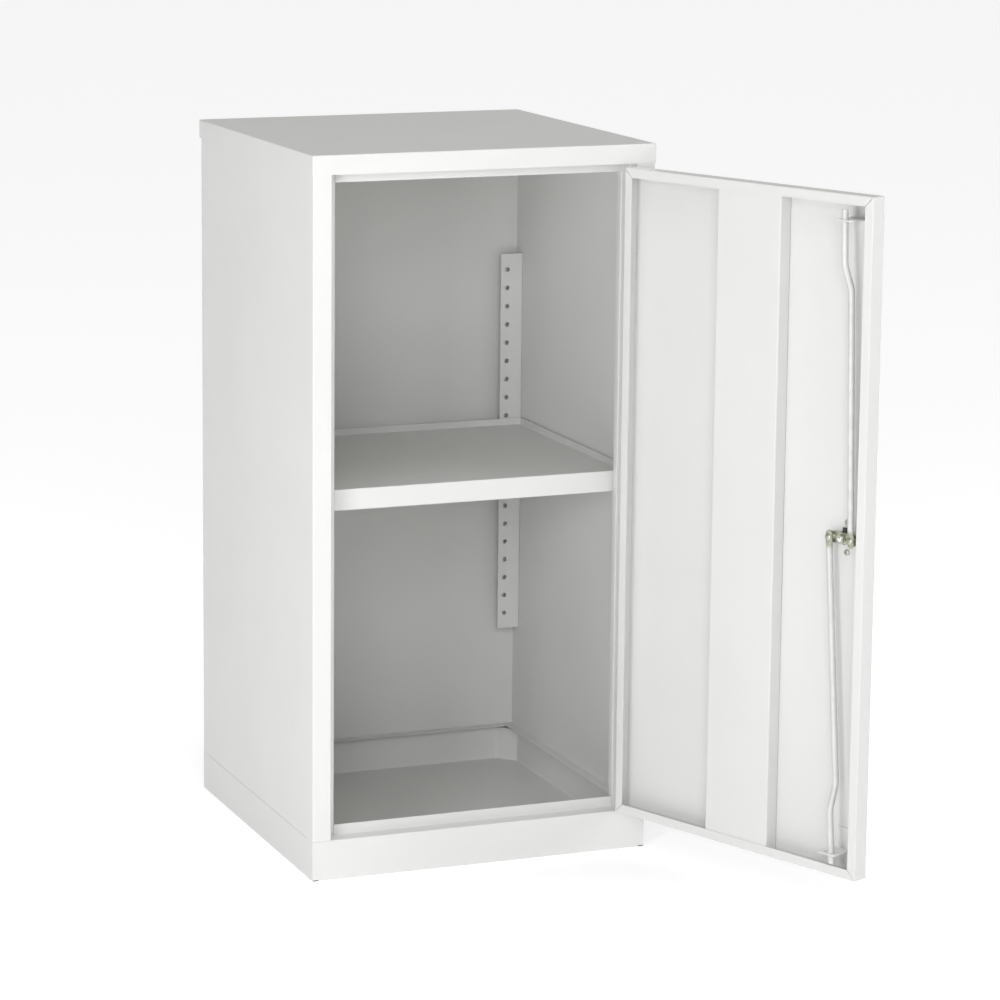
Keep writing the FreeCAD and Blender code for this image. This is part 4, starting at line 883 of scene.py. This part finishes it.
# Lock cam: a flat bar with cut corners on the spindle's square, with one rod at each end.
# Blanked from three millimetre steel and zinc plated.
cam_end = 21.6 * mm
cam_half = 7 * mm
cam_to = 10.5 * mm
cam_corner = 2.8 * mm
pin_shank = 3 * mm
cam = block("lock_cam_bar", (-cam_end, ring_to, -cam_half), (cam_end, cam_to, cam_half))
work_on(cam)
pick_edges(cam, lambda edge: abs(edge.verts[0].co.y - edge.verts[1].co.y) > 2 * mm)
bpy.ops.mesh.bevel(offset=cam_corner, segments=1, affect="EDGES")
pick_edges(cam, lambda edge: abs(edge.verts[0].co.y - edge.verts[1].co.y) < 2 * mm)
bpy.ops.mesh.bevel(offset=0.35 * mm, segments=2, affect="EDGES")
leave()
punch(cam, block("square_punch", (-square_half, ring_to - overrun, -square_half),
                 (square_half, cam_to + overrun, square_half)))
for side in (-1, 1):
    punch(cam, rod_blank("pin_drill", pin_shank, ring_to - overrun, cam_to + overrun, inwards,
                         (side * cam_reach, 0, 0), corner=0))
hang(cam)
hand_over(cam, "lock", "zinc", zinc, "lock_cam")


# Cam washer and nut: they hold the cam on the threaded end of the spindle.
# Stamped washer and cut hexagon with its corners turned back, both zinc plated.
washer_to = 11.5 * mm
nut_to = 16.5 * mm
nut_reach = 5.75 * mm
washer_radius = 7 * mm
washer_bore = 5.717 * mm
flat_washer = rod_blank("cam_washer_disc", washer_radius, cam_to, washer_to, inwards, corner=0.2 * mm,
                        points=40)
punch(flat_washer, rod_blank("washer_drill", washer_bore, cam_to - overrun, washer_to + overrun, inwards,
                             corner=0))
hang(flat_washer)
hand_over(flat_washer, "lock", "zinc", zinc, "cam_washer")
nut = rod_blank("cam_nut_hexagon", nut_reach, washer_to, nut_to, inwards, corner=0, points=6)
turned_back = turned("nut_turning", [
    (washer_to - 0.1 * mm, nut_reach * 0.86), (washer_to + 0.5 * mm, nut_reach * 1.01),
    (nut_to - 0.5 * mm, nut_reach * 1.01), (nut_to + 0.1 * mm, nut_reach * 0.86)], 48)
settle(turned_back, inwards)
apply(nut, "BOOLEAN", operation="INTERSECT", solver="EXACT", object=turned_back)
bpy.data.objects.remove(turned_back)
punch(nut, rod_blank("nut_drill", thread_radius, washer_to - overrun, nut_to + overrun, inwards,
                     corner=0))
hang(nut)
hand_over(nut, "lock", "zinc", zinc, "cam_nut")


# Rod pins: two shouldered rivets, headed over behind the cam and again over the eyes of the rods.
# Turned steel, zinc plated.
pin_head = 4.2 * mm
eye_near = 13 * mm
eye_far = 18 * mm
pins = []
for side in (-1, 1):
    pin = turned("rod_pin_set", [
        (6.3 * mm, 3.2 * mm), (6.6 * mm, 3.9 * mm), (6.9 * mm, pin_head), (ring_to, pin_head),
        (ring_to, pin_shank), (cam_to, pin_shank), (cam_to, pin_head), (eye_near, pin_head),
        (eye_near, pin_shank), (eye_far, pin_shank), (eye_far, pin_head), (eye_far + 0.4 * mm, 4.1 * mm),
        (eye_far + 0.8 * mm, 3.5 * mm), (eye_far + 1.1 * mm, 2.4 * mm), (eye_far + 1.2 * mm, 1.2 * mm)])
    settle(pin, inwards, (side * cam_reach, 0, 0))
    pins.append(pin)
join(*pins)
hang(pins[0])
hand_over(pins[0], "lock", "zinc", zinc, "rod_pins")


# Hinges: two short barrel hinges on the right, each leaf welded on, one to the frame's rebate and one to the
# door's edge. The frame's half grips the pin, and a brass washer between the halves carries the door.
brass = metal("brass", (0.72, 0.58, 0.32), 0.3, 600, 0.02 * mm)
barrel_radius = 3.2 * mm
pin_bore = 1.56 * mm
pin_radius = 1.5 * mm
hinge_half = 31 * mm
leaf_depth = 18 * mm
leaf_inset = 0.1 * mm
washer_rise = 0.6 * mm


def hinge_leaf(name, side, low, high):
    """A barrel along Z with its leaf, on side 1 for the frame's half and -1 for the door's."""
    barrel = rod_blank(name, barrel_radius, low, high, corner=0.35 * mm)
    ends = sorted((side * 0.4 * mm, side * 1.4 * mm))
    tongue = block("hinge_tongue", (ends[0], 0, low + leaf_inset), (ends[1], leaf_depth, high - leaf_inset))
    work_on(tongue)
    pick_edges(tongue, lambda edge: abs(edge.verts[0].co.x - edge.verts[1].co.x) > 0.9 * mm and
               edge.verts[0].co.y > leaf_depth - 0.1 * mm)
    bpy.ops.mesh.bevel(offset=2.5 * mm, segments=5, affect="EDGES")
    leave()
    weld(barrel, tongue)
    punch(barrel, rod_blank("pin_drill", pin_bore, low - overrun, high + overrun, corner=0))
    return barrel


thrust_washers = []
for hinge, hinge_z in zip(("upper_hinge", "lower_hinge"), hinge_heights):
    foot = (hinge_x, body_front, hinge_z)
    frame_leaf = hinge_leaf(f"{hinge}_frame_half", 1, -hinge_half, 0)
    settle(frame_leaf, (0, 0, 0), foot)
    hand_over(frame_leaf, "cabinet", "white_powder_coat", white_coat, f"{hinge}_frame_leaf")
    door_leaf = hinge_leaf(f"{hinge}_door_half", -1, washer_rise + 0.1 * mm, hinge_half)
    settle(door_leaf, door_turn, foot)
    hand_over(door_leaf, "door", "white_powder_coat", white_coat, f"{hinge}_door_leaf")
    hinge_pin = turned(f"{hinge}_pin_bar", [
        (-hinge_half, 1.3 * mm), (-hinge_half + 0.3 * mm, pin_bore), (-hinge_half + 15.5 * mm, pin_bore),
        (-hinge_half + 15.5 * mm, pin_radius), (hinge_half - 0.4 * mm, pin_radius), (hinge_half, 1.1 * mm)])
    settle(hinge_pin, (0, 0, 0), foot)
    hand_over(hinge_pin, "cabinet", "zinc", zinc, f"{hinge}_pin")
    disc = rod_blank("hinge_washer_set", barrel_radius, 0, washer_rise, corner=0.1 * mm)
    punch(disc, rod_blank("washer_drill", pin_bore, -overrun, overrun, corner=0))
    settle(disc, (0, 0, 0), foot)
    thrust_washers.append(disc)
join(*thrust_washers)
hand_over(thrust_washers[0], "cabinet", "brass", brass, "hinge_washers")


# Corner pads: four glides pressed into the corners that the sump tray leaves free, the front ones with a toe
# that shows through the notch in the kick face. Moulded in black plastic.
pad_leg = 24 * mm
pad_rise = 8 * mm
glides = []
for side in (-1, 1):
    for corner_y, inward in ((body_front + sheet, 1), (plinth_back_y, -1)):
        across = sorted((side * inner_half, side * (inner_half - pad_leg)))
        along = sorted((corner_y, corner_y + inward * pad_leg))
        glide = block("corner_pad_set", (across[0], along[0], 0), (across[1], along[1], pad_rise))
        work_on(glide)
        bpy.ops.mesh.select_all(action="SELECT")
        bpy.ops.mesh.bisect(plane_co=(side * inner_half, corner_y + inward * pad_leg, 0),
                            plane_no=(-side, inward, 0), use_fill=True, clear_outer=True)
        bpy.ops.mesh.select_all(action="SELECT")
        bpy.ops.mesh.bevel(offset=0.4 * mm, segments=2, affect="EDGES")
        leave()
        if inward > 0:
            ends = sorted((side * toe_inner, side * toe_outer))
            weld(glide, block("pad_toe", (ends[0], body_front, 0), (ends[1], corner_y + sheet, toe_rise)))
        glides.append(glide)
join(*glides)
hand_over(glides[0], "cabinet", "black_plastic", black_plastic, "corner_pads")


# Floor, lights and camera: a white sweep under an overhead tent, a softbox low on the left that throws the
# rods' shadows on the door, a broad fill just above the camera and another on the right.
bpy.ops.object.select_all(action="DESELECT")
bpy.ops.mesh.primitive_plane_add(size=160, location=(0, 0, -0.05 * mm))
floor = bpy.context.object
floor.name = "studio_floor"
sweep = bpy.data.materials.new("studio_floor")
sweep.use_nodes = True
sweep_shader = sweep.node_tree.nodes["Principled BSDF"]
sweep_shader.inputs["Base Color"].default_value = (0.93, 0.93, 0.93, 1)
sweep_shader.inputs["Roughness"].default_value = 0.9
sweep_shader.inputs["Emission Color"].default_value = (1, 1, 1, 1)
sweep_shader.inputs["Emission Strength"].default_value = 0.2
floor.data.materials.append(sweep)


def softbox(name, place, size, power):
    """A square soft light aimed at the middle of the cabinet."""
    bpy.ops.object.light_add(type="AREA", location=place)
    light = bpy.context.object
    light.name = name
    light.data.size = size
    light.data.energy = power
    light.data.color = (0.96, 0.96, 1)
    light.rotation_euler = (Vector((0, 0, 0.45)) - light.location).to_track_quat("-Z", "Y").to_euler()


softbox("key_light", (-1.6, -1.65, 0.75), 0.6, 17)
softbox("camera_fill", (-1.5, -4.6, 2), 2.2, 76)
softbox("right_fill", (3.6, -2.9, 1.5), 1.6, 40)

studio = bpy.data.worlds.new("studio")
studio.use_nodes = True
sky = studio.node_tree
direction = sky.nodes.new("ShaderNodeTexCoord")
parts = sky.nodes.new("ShaderNodeSeparateXYZ")
overhead = sky.nodes.new("ShaderNodeMath")
overhead.operation = "POWER"
overhead.inputs[1].default_value = 4
strength = sky.nodes.new("ShaderNodeMath")
strength.operation = "MULTIPLY_ADD"
strength.inputs[1].default_value = 2.4
strength.inputs[2].default_value = 0
sky.links.new(direction.outputs["Generated"], parts.inputs["Vector"])
sky.links.new(parts.outputs["Z"], overhead.inputs[0])
sky.links.new(overhead.outputs["Value"], strength.inputs[0])
sky.links.new(strength.outputs["Value"], sky.nodes["Background"].inputs["Strength"])
sky.nodes["Background"].inputs["Color"].default_value = (1, 1, 1, 1)
bpy.context.scene.world = studio
bpy.context.scene.view_settings.view_transform = "Standard"

camera_data = bpy.data.cameras.new("camera")
camera = bpy.data.objects.new("camera", camera_data)
bpy.context.scene.collection.objects.link(camera)
camera_data.lens = 132.15
camera_data.sensor_width = 36
camera_data.shift_x = 0.1
camera_data.shift_y = -0.1
camera_data.clip_end = 300
camera_place = Vector((-1.6881, -4.4102, 1.4095))
heading = math.radians(-20.631)
look_down = math.radians(10.171)
roll = math.radians(0.305)
camera.matrix_world = (Matrix.Translation(camera_place) @ Matrix.Rotation(heading, 4, "Z")
                       @ Matrix.Rotation(math.radians(90) - look_down, 4, "X")
                       @ Matrix.Rotation(roll, 4, "Z"))
bpy.context.scene.camera = camera
